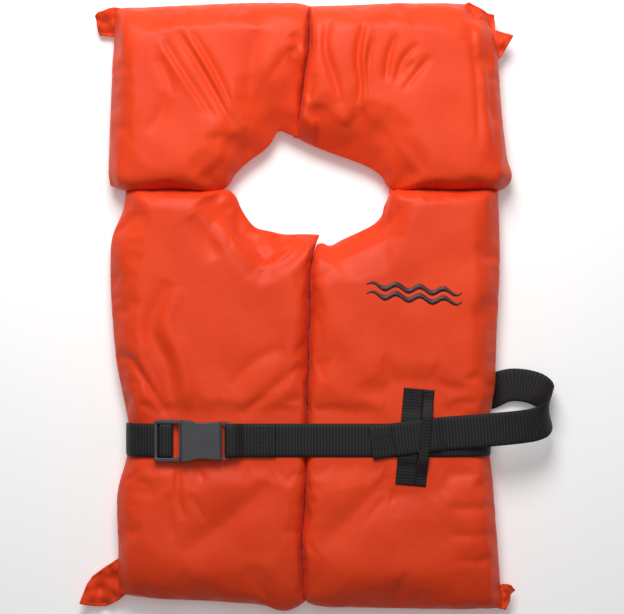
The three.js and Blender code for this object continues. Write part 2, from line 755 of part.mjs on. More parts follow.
addPart('socket_strap', socketStrap(), webbing);
addPart('buckle_strap', buckleStrap(), webbing);
addPart('belt_end_strap', beltEndStrap(), webbing);
addPart('belt_slack_loop', slackLoop(), webbing);
addPart('belt_return_strap', returnStrap(), webbing);
addPart('belt_back_run', beltBackRun(), webbing);
addPart('belt_keeper', keeper(), webbing);

const stitchZ = frontBeltZ + layer + webThickness / 2 + touch;
addPart('socket_end_stitch', boxStitch(boxStitchLength, boxStitchWidth,
  tailBarX + tailBarWidth + 17 + boxStitchLength / 2, beltY, stitchZ, 0), threadLook);
addPart('belt_end_stitch', boxStitch(17, 16, 91, 198.4, stitchZ, 8), threadLook);
for (const [name, end] of [['keeper_top_stitch', 1], ['keeper_bottom_stitch', -1]]) {
  const [x, y] = onKeeper(end * (keeperLength / 2 - 6), 0);
  const z = chestTopZ + 2 * touch + keeperThickness;
  addPart(name, boxStitch(keeperWidth - 6, 7, x, y, z, -keeperTilt), threadLook);
}

addPart('buckle_socket', buckleSocket(), buckleLook);
addPart('buckle_plug', bucklePlug(), buckleLook);
addPart('prong_upper', prong(1), buckleLook);
addPart('prong_lower', prong(-1), buckleLook);

// the origin is the middle of the base of the whole jacket as it lies
jacket.updateMatrixWorld(true);
const reach = new THREE.Box3().setFromObject(jacket);
jacket.position.set(-(reach.min.x + reach.max.x) / 2, -(reach.min.y + reach.max.y) / 2, -reach.min.z);

export default jacket;
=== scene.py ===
"""Looks of an adult keyhole life jacket that lies on its back: foam-filled shell in four pads,
webbing belt, side-release buckle. Lengths in the tables are millimetres, measured from the middle
of the object's footprint and up from the table."""
import bpy
import bmesh
import math
import numpy as np
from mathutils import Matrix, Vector
from mathutils.bvhtree import BVHTree
from mathutils.geometry import delaunay_2d_cdt


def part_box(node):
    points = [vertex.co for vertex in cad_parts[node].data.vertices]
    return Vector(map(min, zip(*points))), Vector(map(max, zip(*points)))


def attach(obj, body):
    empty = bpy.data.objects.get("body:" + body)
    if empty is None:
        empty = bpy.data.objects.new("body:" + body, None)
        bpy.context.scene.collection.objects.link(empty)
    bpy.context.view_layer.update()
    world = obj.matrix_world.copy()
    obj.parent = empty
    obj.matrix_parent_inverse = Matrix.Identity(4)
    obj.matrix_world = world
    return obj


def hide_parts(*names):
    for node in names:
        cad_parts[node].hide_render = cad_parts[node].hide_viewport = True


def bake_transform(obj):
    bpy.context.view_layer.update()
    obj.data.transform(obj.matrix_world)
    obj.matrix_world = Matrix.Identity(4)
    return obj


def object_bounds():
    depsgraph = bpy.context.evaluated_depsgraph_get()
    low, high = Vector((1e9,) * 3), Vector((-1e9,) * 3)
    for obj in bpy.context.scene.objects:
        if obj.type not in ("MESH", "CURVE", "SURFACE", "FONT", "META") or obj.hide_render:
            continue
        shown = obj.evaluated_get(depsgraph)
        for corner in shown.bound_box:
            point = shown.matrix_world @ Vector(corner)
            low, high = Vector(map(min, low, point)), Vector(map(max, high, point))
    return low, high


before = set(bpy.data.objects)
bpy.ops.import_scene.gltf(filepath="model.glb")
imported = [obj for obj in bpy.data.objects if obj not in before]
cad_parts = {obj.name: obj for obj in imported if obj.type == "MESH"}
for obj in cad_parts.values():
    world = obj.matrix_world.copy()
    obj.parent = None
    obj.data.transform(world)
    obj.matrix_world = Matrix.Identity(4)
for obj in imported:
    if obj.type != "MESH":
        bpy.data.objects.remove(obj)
MM = 0.001
LOW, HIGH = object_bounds()
CENTRE = (LOW + HIGH) / 2
ORIGIN = np.array([CENTRE.x, CENTRE.y, LOW.z])


def at(x, y, z=0.0):
    return Vector((CENTRE.x + x * MM, CENTRE.y + y * MM, LOW.z + z * MM))


def millimetres(point):
    return (
        (point[0] - CENTRE.x) / MM, (point[1] - CENTRE.y) / MM, (point[2] - LOW.z) / MM,
    )


def node_mm(name):
    low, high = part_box(name)
    return millimetres(low), millimetres(high)


SOCKET_LOW, SOCKET_HIGH = node_mm("buckle_socket")
PLUG_LOW = node_mm("buckle_plug")[0]
BELT_Y = (SOCKET_LOW[1] + SOCKET_HIGH[1]) / 2  # the belt's middle line
SEAM_Z = 22.0  # height of the seam round the pads
FOLD_Y = (node_mm("left_shoulder_channel")[0][1] + node_mm("left_shoulder_channel")[1][1]) / 2
CHEST_TOP = node_mm("left_chest_front_cover")[1][2]
COLLAR_TOP = node_mm("left_collar_front_cover")[1][2]
WEB = 38.0  # webbing width
LAYER_1 = CHEST_TOP + 1.3  # middle of the webbing that lies on the chest
LAYER_2 = LAYER_1 + 2.3

# ------------------------------------------------------------------ camera, lights, floor
VIEW_LENS = 100.0
VIEW_WIDTH = 717.6 * MM  # width of the picture in the plane of the seam


def make_stage():
    camera_data = bpy.data.cameras.new("camera")
    camera_data.lens = VIEW_LENS
    camera_data.sensor_width = 36.0
    camera = bpy.data.objects.new("camera", camera_data)
    distance = VIEW_WIDTH * VIEW_LENS / 36.0
    camera.location = at(-3.2, -1.3, SEAM_Z) + Vector((0, 0, distance))
    bpy.context.scene.collection.objects.link(camera)
    bpy.context.scene.camera = camera

    world = bpy.data.worlds.new("world")
    world.use_nodes = True
    world.node_tree.nodes["Background"].inputs["Color"].default_value = (1.0, 0.99, 0.98, 1)
    world.node_tree.nodes["Background"].inputs["Strength"].default_value = 0.15
    bpy.context.scene.world = world
    bpy.context.scene.view_settings.view_transform = "Standard"

    def area(name, place, size, power):
        data = bpy.data.lights.new(name, "AREA")
        data.shape = "DISK"
        data.size = size
        data.energy = power
        light = bpy.data.objects.new(name, data)
        light.location = place
        light.rotation_euler = (at(0, 0, 20) - place).to_track_quat("-Z", "Y").to_euler()
        bpy.context.scene.collection.objects.link(light)

    area("key", at(-120, 1000, 1150), 0.8, 20.5)
    area("overhead", at(0, 500, 2400), 1.7, 12)

    bpy.ops.mesh.primitive_plane_add(size=14, location=(CENTRE.x, CENTRE.y, LOW.z - 0.0003))
    floor = bpy.context.object
    floor.name = "floor"
    look = bpy.data.materials.new("floor_paper")
    look.use_nodes = True
    shader = look.node_tree.nodes["Principled BSDF"]
    shader.inputs["Base Color"].default_value = (0.93, 0.93, 0.93, 1)
    shader.inputs["Roughness"].default_value = 0.9
    shader.inputs["Emission Color"].default_value = (1, 1, 1, 1)
    shader.inputs["Emission Strength"].default_value = 0.14
    floor.data.materials.append(look)


make_stage()


# ------------------------------------------------------------------ materials
class Nodes:
    """A material with its Principled shader and short ways to add nodes."""

    def __init__(self, name):
        self.material = bpy.data.materials.new(name)
        self.material.use_nodes = True
        self.tree = self.material.node_tree
        self.shader = self.tree.nodes["Principled BSDF"]

    def add(self, kind, **values):
        node = self.tree.nodes.new(kind)
        for key, value in values.items():
            if key.startswith("_"):
                setattr(node, key[1:], value)
            else:
                node.inputs[key].default_value = value
        return node

    def link(self, source, target):
        self.tree.links.new(source, target)

    def constants(self, **values):
        for key, value in values.items():
            self.shader.inputs[key.replace("_", " ")].default_value = value

    def mix(self, factor, first, second):
        node = self.add("ShaderNodeMix", _data_type="RGBA")
        self.link(factor, node.inputs["Factor"])
        for value, socket in ((first, node.inputs["A"]), (second, node.inputs["B"])):
            if isinstance(value, tuple):
                socket.default_value = (*value, 1)
            else:
                self.link(value, socket)
        return node.outputs["Result"]

    def ramp(self, source, low, high):
        node = self.add("ShaderNodeMapRange")
        node.inputs["From Min"].default_value = low
        node.inputs["From Max"].default_value = high
        self.link(source, node.inputs["Value"])
        return node.outputs["Result"]

    def math(self, operation, first, second):
        node = self.add("ShaderNodeMath", _operation=operation)
        for value, socket in ((first, node.inputs[0]), (second, node.inputs[1])):
            if isinstance(value, (int, float)):
                socket.default_value = value
            else:
                self.link(value, socket)
        return node.outputs["Value"]

    def texture(self, kind, where, output="Fac", **values):
        node = self.add("ShaderNodeTex" + kind, **values)
        self.link(where, node.inputs["Vector"])
        return node.outputs[output]

    def roughness(self, source, low, high):
        node = self.add("ShaderNodeMapRange")
        node.inputs["To Min"].default_value = low
        node.inputs["To Max"].default_value = high
        self.link(source, node.inputs["Value"])
        self.link(node.outputs["Result"], self.shader.inputs["Roughness"])

    def bump(self, height, strength, distance, below=None):
        node = self.add("ShaderNodeBump", Strength=strength, Distance=distance)
        self.link(height, node.inputs["Height"])
        if below is not None:
            self.link(below, node.inputs["Normal"])
        return node.outputs["Normal"]


def shell_fabric():
    """Satin-coated woven polyester: fine plain weave, faint mottling, a painted highlight on the
    fibres, soft broad sheen.
    """
    m = Nodes("shell_fabric")
    where = m.add("ShaderNodeTexCoord").outputs["Object"]
    mottle = m.texture("Noise", where, Scale=14.0, Detail=3.0, Roughness=0.55)
    fibre_highlight = m.texture("Noise", where, Scale=420.0, Detail=2.0)
    warp = m.texture("Wave", where, _bands_direction="X", Scale=560.0, Distortion=0.4)
    weft = m.texture("Wave", where, _bands_direction="Y", Scale=560.0, Distortion=0.4)
    weave = m.math("MULTIPLY", warp, weft)
    tone = m.mix(m.ramp(mottle, 0.35, 0.68), (0.73, 0.046, 0.010), (0.82, 0.060, 0.014))
    # painted highlight: fine fibre noise lifts the colour up to a fifth of the way towards a lighter
    # orange
    grain_and_highlight = m.mix(m.math("MULTIPLY", fibre_highlight, 0.2), tone, (0.88, 0.094, 0.026))
    m.link(grain_and_highlight, m.shader.inputs["Base Color"])
    m.roughness(mottle, 0.36, 0.5)
    cockle = m.texture("Noise", where, Scale=55.0, Detail=4.0, Roughness=0.6)
    soft = m.bump(cockle, 0.30, 0.0016)
    m.link(m.bump(weave, 0.18, 0.00006, soft), m.shader.inputs["Normal"])
    m.constants(IOR=1.24, Specular_IOR_Level=0.5, Sheen_Weight=0.09, Sheen_Roughness=0.35)
    m.shader.inputs["Sheen Tint"].default_value = (1.0, 0.55, 0.4, 1)
    return m.material


def webbing_fabric(name="webbing_black", dark=(0.0055, 0.005, 0.005), light=(0.060, 0.051, 0.052)):
    """Heavy woven webbing: ribs across its width and fine yarns along it, laid out on the strip's UVs,
    in which one unit is 100 mm. Its colour goes towards `light`, a painted highlight, on the crests
    of the ribs and yarns."""
    m = Nodes(name)
    uv = m.add("ShaderNodeUVMap").outputs["UV"]
    rib = m.texture("Wave", uv, _bands_direction="X", Scale=8.73, Distortion=0.25)
    yarn = m.texture("Wave", uv, _bands_direction="Y", Scale=26.0, Distortion=0.5)
    speck = m.texture("Noise", uv, Scale=90.0, Detail=3.0)
    weave = m.math("MULTIPLY", rib, yarn)
    # painted highlight: the colour goes from dark to light on the crests of the ribs and yarns, broken
    # up by specks
    lit = m.math("MULTIPLY", m.ramp(weave, 0.25, 0.9), m.ramp(speck, 0.2, 0.65))
    m.link(m.mix(lit, dark, light), m.shader.inputs["Base Color"])
    ribs = m.bump(rib, 0.55, 0.0004)
    m.link(m.bump(yarn, 0.35, 0.0002, ribs), m.shader.inputs["Normal"])
    m.constants(Roughness=0.66, Specular_IOR_Level=0.3, Sheen_Weight=0.04, Sheen_Roughness=0.5)
    return m.material


def moulded_plastic():
    """Acetal with a fine spark-eroded texture, slightly scuffed on top."""
    m = Nodes("buckle_plastic")
    where = m.add("ShaderNodeTexCoord").outputs["Object"]
    grain_and_highlight = m.texture("Noise", where, Scale=1900.0, Detail=2.0)
    scuff = m.texture("Noise", where, Scale=90.0, Detail=6.0, Roughness=0.7)
    tone = m.mix(m.ramp(scuff, 0.3, 0.75), (0.040, 0.038, 0.043), (0.058, 0.055, 0.062))
    m.link(tone, m.shader.inputs["Base Color"])
    m.roughness(scuff, 0.34, 0.5)
    m.link(m.bump(grain_and_highlight, 0.25, 0.00008), m.shader.inputs["Normal"])
    m.constants(Specular_IOR_Level=0.5)
    return m.material


def twisted_thread(name, colour):
    m = Nodes(name)
    where = m.add("ShaderNodeTexCoord").outputs["Object"]
    twist = m.add("ShaderNodeTexWave", _bands_direction="DIAGONAL", Scale=380.0)
    m.link(where, twist.inputs["Vector"])
    # painted shade: the thread's colour darkens in the grooves between its twisted plies
    groove_shade = tuple(0.55 * c for c in colour)
    m.link(m.mix(twist.outputs["Fac"], groove_shade, colour), m.shader.inputs["Base Color"])
    m.link(m.bump(twist.outputs["Fac"], 0.6, 0.0002), m.shader.inputs["Normal"])
    m.constants(Roughness=0.5, Specular_IOR_Level=0.45)
    return m.material


def closed_cell_foam():
    m = Nodes("closed_cell_foam")
    where = m.add("ShaderNodeTexCoord").outputs["Object"]
    cells = m.add("ShaderNodeTexVoronoi", Scale=700.0)
    m.link(where, cells.inputs["Vector"])
    m.link(m.mix(cells.outputs["Distance"], (0.86, 0.84, 0.77), (0.74, 0.71, 0.63)),
           m.shader.inputs["Base Color"])
    m.link(m.bump(cells.outputs["Distance"], 0.5, 0.0004), m.shader.inputs["Normal"])
    m.constants(Roughness=0.85)
    return m.material


def print_ink():
    """Screen-printed ink, nearly black, that lets a little of the fabric through."""
    m = Nodes("print_ink")
    where = m.add("ShaderNodeTexCoord").outputs["Object"]
    wear = m.add("ShaderNodeTexNoise", Scale=260.0, Detail=4.0)
    m.link(where, wear.inputs["Vector"])
    m.link(m.mix(m.ramp(wear.outputs["Fac"], 0.45, 0.8), (0.030, 0.011, 0.011), (0.13, 0.022, 0.018)),
           m.shader.inputs["Base Color"])
    m.link(m.bump(wear.outputs["Fac"], 0.2, 0.0002), m.shader.inputs["Normal"])
    m.constants(Roughness=0.5)
    return m.material


SHELL = shell_fabric()
WEBBING = webbing_fabric()
# the keeper's webbing, with a fainter painted highlight on its ribs
KEEPER_WEBBING = webbing_fabric("keeper_webbing_black", (0.0075, 0.006, 0.006), (0.024, 0.018, 0.018))
PLASTIC = moulded_plastic()
BLACK_THREAD = twisted_thread("black_thread", (0.022, 0.019, 0.020))
FOAM = closed_cell_foam()
INK = print_ink()


def give(obj, material):
    obj.data.materials.clear()
    obj.data.materials.append(material)


# ------------------------------------------------------------------ small mesh tools
def new_mesh(name, points, faces, material, smooth=True):
    """Points are in millimetres from the middle of the footprint."""
    mesh = bpy.data.meshes.new(name)
    world = np.asarray(points, float) * MM + ORIGIN
    mesh.from_pydata(world.tolist(), [], [tuple(int(i) for i in f) for f in faces])
    mesh.validate()
    mesh.shade_smooth() if smooth else mesh.shade_flat()
    obj = bpy.data.objects.new(name, mesh)
    bpy.context.scene.collection.objects.link(obj)
    give(obj, material)
    return obj


def points_of(obj):
    co = np.zeros(len(obj.data.vertices) * 3)
    obj.data.vertices.foreach_get("co", co)
    return co.reshape(-1, 3)


def set_points(obj, points):
    obj.data.vertices.foreach_set("co", points.ravel())
    obj.data.update()


def two_layer_faces(rows, columns):
    """Faces of a closed form: a grid of points, the same grid again below it, and the rim between."""
    index = np.arange(rows * columns).reshape(rows, columns)
    a, b = index[:-1, :-1].ravel(), index[:-1, 1:].ravel()
    c, d = index[1:, 1:].ravel(), index[1:, :-1].ravel()
    rim = np.concatenate([index[0, :-1], index[:-1, -1], index[-1, :0:-1], index[:0:-1, 0]])
    after = np.roll(rim, -1)
    below = rows * columns
    return np.concatenate([
        np.stack([a, b, c, d], 1), np.stack([d, c, b, a], 1) + below,
        np.stack([rim, rim + below, after + below, after], 1),
    ])


def face_outwards(obj):
    bm = bmesh.new()
    bm.from_mesh(obj.data)
    bmesh.ops.recalc_face_normals(bm, faces=bm.faces)
    bm.to_mesh(obj.data)
    bm.free()


def apply_modifiers(obj):
    depsgraph = bpy.context.evaluated_depsgraph_get()
    mesh = bpy.data.meshes.new_from_object(obj.evaluated_get(depsgraph))
    obj.modifiers.clear()
    obj.data = mesh


def subdivide(obj, levels=1):
    modifier = obj.modifiers.new("Subdivision", "SUBSURF")
    modifier.levels = modifier.render_levels = levels
    apply_modifiers(obj)


def curve_through(points, step=2.0):
    """Centripetal Catmull-Rom curve through the points, as an even list of points."""
    p = [np.array(q, float) for q in points]
    if len(p) == 2:
        n = max(2, int(np.linalg.norm(p[1] - p[0]) / step) + 1)
        return np.array([p[0] + (p[1] - p[0]) * t for t in np.linspace(0, 1, n)])
    p = [2 * p[0] - p[1], *p, 2 * p[-1] - p[-2]]
    out = []
    for a, b, c, d in zip(p, p[1:], p[2:], p[3:]):
        t = np.cumsum([0.0, *[max(np.linalg.norm(v), 1e-6) ** 0.5 for v in (b - a, c - b, d - c)]])
        for u in np.linspace(t[1], t[2], max(2, int(np.linalg.norm(c - b) / step) + 2))[:-1]:
            ab = a + (b - a) * (u - t[0]) / (t[1] - t[0])
            bc = b + (c - b) * (u - t[1]) / (t[2] - t[1])
            cd = c + (d - c) * (u - t[2]) / (t[3] - t[2])
            abc = ab + (bc - ab) * (u - t[0]) / (t[2] - t[0])
            bcd = bc + (cd - bc) * (u - t[1]) / (t[3] - t[1])
            out.append(abc + (bcd - abc) * (u - t[1]) / (t[2] - t[1]))
    out.append(p[-2])
    return np.array(out)


def lengths_along(line):
    return np.concatenate([[0.0], np.cumsum(np.linalg.norm(np.diff(line, axis=0), axis=1))])


def spread(line, fractions):
    s = lengths_along(line)
    wanted = np.asarray(fractions) * s[-1]
    return np.stack([np.interp(wanted, s, line[:, k]) for k in range(line.shape[1])], 1)


def nearest_on(line, xy):
    """For each point: distance to the line, length along it, and on which side it lies (+1 is left)."""
    a, b = line[:-1], line[1:]
    d = b - a
    size = np.maximum((d ** 2).sum(1), 1e-9)
    best = np.full(len(xy), 1e9)
    along = np.zeros(len(xy))
    side = np.zeros(len(xy))
    s = lengths_along(line)
    for i in range(len(a)):
        t = np.clip(((xy - a[i]) @ d[i]) / size[i], 0, 1)
        off = xy - (a[i] + t[:, None] * d[i])
        dist = np.hypot(off[:, 0], off[:, 1])
        nearer = dist < best
        best[nearer] = dist[nearer]
        along[nearer] = s[i] + t[nearer] * math.sqrt(size[i])
        side[nearer] = np.sign(d[i][0] * off[nearer, 1] - d[i][1] * off[nearer, 0])
    return best, along, side


def smooth(t):
    t = np.clip(t, 0, 1)
    return t * t * (3 - 2 * t)


def dome(distance, radius, fullness=2.9):
    """Rise of a stuffed edge: upright at the seam and level at `radius` from it."""
    t = np.clip(distance / radius, 0, 1)
    return np.sqrt(np.clip(1 - (1 - t) ** fullness, 0, 1))


def over_foam(distance, radius):
    """Rise of cloth over the edge of a foam sheet: a steep side, a soft bend, then nearly level."""
    t = np.clip(distance / radius, 0, 1)
    steep, soft = t / 0.55, 0.22
    bend = np.where(steep < 1 - soft, steep, 1 - (1 + soft - steep) ** 2 / (4 * soft))
    side = np.where(steep > 1 + soft, 1.0, bend)
    return 0.3 * dome(distance, radius) + 0.6 * side + 0.1 * smooth(t)


# ------------------------------------------------------------------ the four pads of the shell
OUTLINES = {
    "left_chest": {
        "bottom": [(-223.5, -331.5), (-212, -333.5), (-201, -335),
                   (-166.5, -338), (-113.5, -340.5), (-74.5, -343), (-59.5, -345), (-40, -350.6),
                   (-31.2, -350.5), (-17, -344), (-11.2, -339.3)],
        "right": [(-11.2, -339.3), (-15.8, -269), (-13, -232), (-11.2, -200), (-8.5, -107),
                  (-6.6, -18.5), (-4.3, 48), (1.5, 72), (5.0, 82)],
        "top": [(-217.1, 132), (-163.5, 132), (-113.5, 133), (-99.8, 134), (-91.5, 127), (-85, 112),
                (-75.5, 97), (-67.9, 90), (-51.5, 86), (-35.5, 82.6), (-13.5, 83), (5.0, 82)],
        "left": [(-223.5, -331.5), (-225.8, -316), (-226.5, -300), (-226.3, -282),
                 (-227, -252), (-227.5, -223), (-224.5, -202.5), (-218.5, -181), (-215, -167),
                 (-213.4, -152.5), (-214, -138), (-218, -117), (-228.1, -64.5), (-233.5, -8),
                 (-235.5, 30), (-233.5, 76), (-220.5, 112), (-217.1, 132)],
    },
    "right_chest": {
        "bottom": [(-10.6, -337.5), (-3.5, -342), (14.1, -345.7), (31.5, -346.8), (86.5, -348.4),
                   (136.5, -349), (191.5, -348.6), (205, -348.4), (214.5, -347)],
        "right": [(214.5, -347), (214, -330), (213.2, -312), (211.6, -288), (208.8, -255),
                  (206.2, -219), (203.5, -187), (200.8, -167), (200.2, -152.5), (200.6, -138),
                  (203.2, -117), (207.5, -87), (208.5, -71.4), (209.5, -37), (211.9, 18),
                  (213.1, 60), (212.5, 98), (210.8, 132)],
        "top": [(3.0, 70.5), (9.5, 73), (17.5, 69), (31.5, 76), (50.9, 85), (69.5, 95),
                (77.5, 104), (82.2, 115), (85.5, 127), (92, 132.5), (103, 132.5), (146.5, 132),
                (210.8, 132)],
        "left": [(-10.6, -337.5), (-15.2, -269), (-12.4, -232), (-10.6, -200), (-7.9, -107),
                 (-6, -18.5), (-3.7, 48), (3.0, 70.5)],
    },
    "left_collar": {
        "bottom": [(-235.5, 138), (-218.5, 133), (-163.5, 133), (-113.5, 134), (-99.8, 137),
                   (-92.5, 150), (-84.5, 158.6), (-73.5, 168), (-60.5, 177), (-51.5, 186),
                   (-42.3, 201), (-31.5, 197.5), (-20.4, 193)],
        "right": [(-20.4, 193), (-17.4, 224), (-13, 253), (-8.9, 286), (-7.3, 313), (-6.8, 345)],
        "top": [(-229, 341.5), (-218.5, 343), (-198.5, 344),
                (-153.5, 346), (-109, 348), (-86, 349), (-48.5, 349), (-19.8, 348), (-6.8, 345)],
        "left": [(-235.5, 138), (-237.5, 151), (-236.8, 179), (-235.4, 225), (-233, 274),
                 (-231, 311), (-230, 328), (-229, 341.5)],
    },
    "right_collar": {
        "bottom": [(-19.8, 193), (-6.6, 186), (15.3, 177), (40.5, 168), (63.5, 158.6),
                   (77.5, 148), (84, 136), (96.5, 133.8), (146.5, 133), (201.5, 133), (213, 133.8),
                   (221.5, 138)],
        "right": [(221.5, 138), (226.4, 145), (226.2, 155), (222.3, 167), (218.1, 196.6),
                  (214.8, 230), (213, 252), (211.3, 275), (208.6, 298), (203, 317), (195, 331),
                  (186, 340.5)],
        "top": [(-6.2, 345), (6.5, 345.5), (30.8, 346), (76.5, 348), (124.2, 348.5), (162, 348.2),
                (176, 346.6), (186, 340.5)],
        "left": [(-19.8, 193), (-16.8, 224), (-12.4, 253), (-8.3, 286), (-6.7, 313), (-6.2, 345)],
    },
}

# How each edge rises: its kind and how far in the pad reaches its full height, in millimetres.
# Kinds: side (a steep foam side), seam, hem, top, and shoulder, which has a second distance, for a
# foam side, along the neck.
ROUNDING = {
    "left_chest": {"bottom": ("hem", 62), "right": ("seam", 11), "top": ("shoulder", 15, 32),
                   "left": ("side", 27)},
    "right_chest": {"bottom": ("hem", 62), "left": ("seam", 11), "top": ("shoulder", 15, 32),
                    "right": ("side", 25)},
    "left_collar": {"bottom": ("shoulder", 17, 40), "right": ("seam", 9), "top": ("top", 38),
                    "left": ("side", 25)},
    "right_collar": {"bottom": ("shoulder", 17, 40), "left": ("seam", 9), "top": ("top", 38),
                     "right": ("side", 27)},
}
FULLNESS = {"seam": 2.9, "hem": 2.0, "top": 2.3, "shoulder": 2.7}
NECK_HALF_WIDTH = 84.0

# Where the cloth breaks towards the neck opening, with the opening on the right of the line.
NECK_CRESTS = {
    "left_collar": [(-140, 141), (-122, 156), (-107, 168), (-99, 188), (-80, 200), (-68, 236),
                    (-50, 272), (-24, 300)],
    "right_collar": [(-17, 216), (-4, 227), (12, 226), (26, 212), (36, 208), (44, 218), (52, 224),
                     (62, 212), (80, 200), (100, 170), (124, 142)],
    "left_chest": [(-48, 44), (-62, 58), (-76, 82), (-96, 106), (-122, 127)],
}

# Folds of the cloth: width, height (below zero for a valley), and the line they follow.
FOLDS = {
    "left_collar": [
        (5, 2.2, [(-178, 300), (-152, 262), (-124, 222)]),
        (3.3, -3.4, [(-171, 300), (-143, 255), (-113, 212)]),
        (3.7, -4.7, [(-155, 312), (-122, 258), (-90, 200)]),
        (5, 2.6, [(-148, 312), (-116, 258), (-86, 204)]),
        (3, -4.2, [(-141, 312), (-112, 264), (-83, 196)]),
        (10, -2.6, [(-66, 312), (-72, 262), (-80, 206)]),
        (6, -3.4, [(-26, 308), (-18, 296), (-27, 284)]),
        (6, -2.2, [(-176, 282), (-166, 258), (-160, 236)]),
        (8, -1.8, [(-166, 240), (-176, 214), (-190, 196)]),
    ],
    "right_collar": [
        (4.1, -3.4, [(16, 326), (12, 290), (22, 258), (30, 226)]),
        (3.3, -4.2, [(56, 322), (49, 282), (52, 250), (47, 220)]),
        (4, 2, [(61, 318), (55, 280), (58, 246), (54, 222)]),
        (3, -2.9, [(66, 302), (60, 272), (62, 232)]),
        (3.3, -3.4, [(92, 306), (84, 284), (80, 254)]),
        (3, -3.6, [(116, 296), (100, 278), (91, 252)]),
        (3, -2.6, [(113, 276), (104, 268), (97, 256)]),
        (3.3, -3.1, [(131, 282), (114, 262), (100, 244)]),
        (3.3, -2.3, [(-2, 262), (-5, 242), (-7, 226)]),
        (3.3, -2.3, [(176, 318), (183, 251), (186, 175)]),
        (5, 1.8, [(184, 325), (192, 251), (198, 165)]),
        (3.3, -2.3, [(193, 325), (199, 251), (206, 175)]),
    ],
    "left_chest": [
        (11, -3.2, [(-140, 102), (-124, 78), (-111, 54)]),
        (9, -8, [(-124, 126), (-98, 104), (-76, 78), (-54, 48)]),
        (9, 2, [(-112, 96), (-86, 62), (-60, 40)]),
        (9, -4.4, [(-166, 28), (-182, -8), (-186, -28), (-168, -68), (-158, -122)]),
        (8, 2.2, [(-152, 20), (-168, -18), (-152, -60), (-142, -118)]),
        (5, -4.2, [(-212, -56), (-192, -86), (-166, -126)]),
        (5, -2, [(-190, -50), (-180, -80), (-166, -120)]),
        (7, -2.4, [(-20, -70), (-52, -98), (-84, -124)]),
        (8, -2, [(-34, -48), (-64, -60), (-96, -92)]),
        (7, -2.2, [(-30, 76), (-20, 66), (-10, 60)]),
        (4, -3, [(-155, -176), (-155, -216), (-148, -242)]),
        (4, -1.8, [(-166, -214), (-164, -240), (-161, -263)]),
        (4, -2, [(-138, -178), (-132, -189), (-124, -199)]),
        (4, -1.8, [(-141, -212), (-133, -228), (-124, -244)]),
        (16, -4, [(-42, -196), (-97, -242), (-152, -282)]),
    ],
    "right_chest": [
        (13, -4, [(118, 122), (69, 88), (18, 50)]),
        (16, 2, [(3, 30), (32, -28), (64, -84)]),
        (16, -3.6, [(92, -186), (50, -229), (6, -276)]),
        (5, -1.5, [(144, -229), (176, -231), (208, -228)]),
        (5, -1.5, [(151, -258), (179, -261), (208, -259)]),
        (5, -1.5, [(156, -288), (183, -290), (208, -288)]),
        (3, -1.8, [(92, -198), (90, -211), (88, -224)]),
    ],
}

SHOULDER_Y = 133.0  # the line at which the collar folds
ABOVE_TABLE = 0.3  # the lowest cloth
LAP = 0.9  # how far neighbouring pads reach past the seam between them
EDGE_STEPS = [0.0, 1.0, 3.0, 6.0, 10.0, 14.0]
GRID = 4.2


def spacing(length):
    """Fractions that are close together at both ends, for the rounded edges."""
    middle = np.linspace(EDGE_STEPS[-1], length - EDGE_STEPS[-1],
                         max(2, int(round((length - 2 * EDGE_STEPS[-1]) / GRID)) + 1))
    ends = np.array(EDGE_STEPS[:-1])
    return np.concatenate([ends, middle, length - ends[::-1]]) / length


def back_runs():
    """Lines of the webbing that the back of the jacket lies on."""
    low, high = node_mm("belt_back_run")
    return [
        np.array([(-260.0, BELT_Y), (low[0], BELT_Y)]),
        np.array([(low[0], BELT_Y), (high[0] + 12, BELT_Y + 49.5)]),
        np.array([(150.0, BELT_Y), (260.0, BELT_Y)]),
    ]


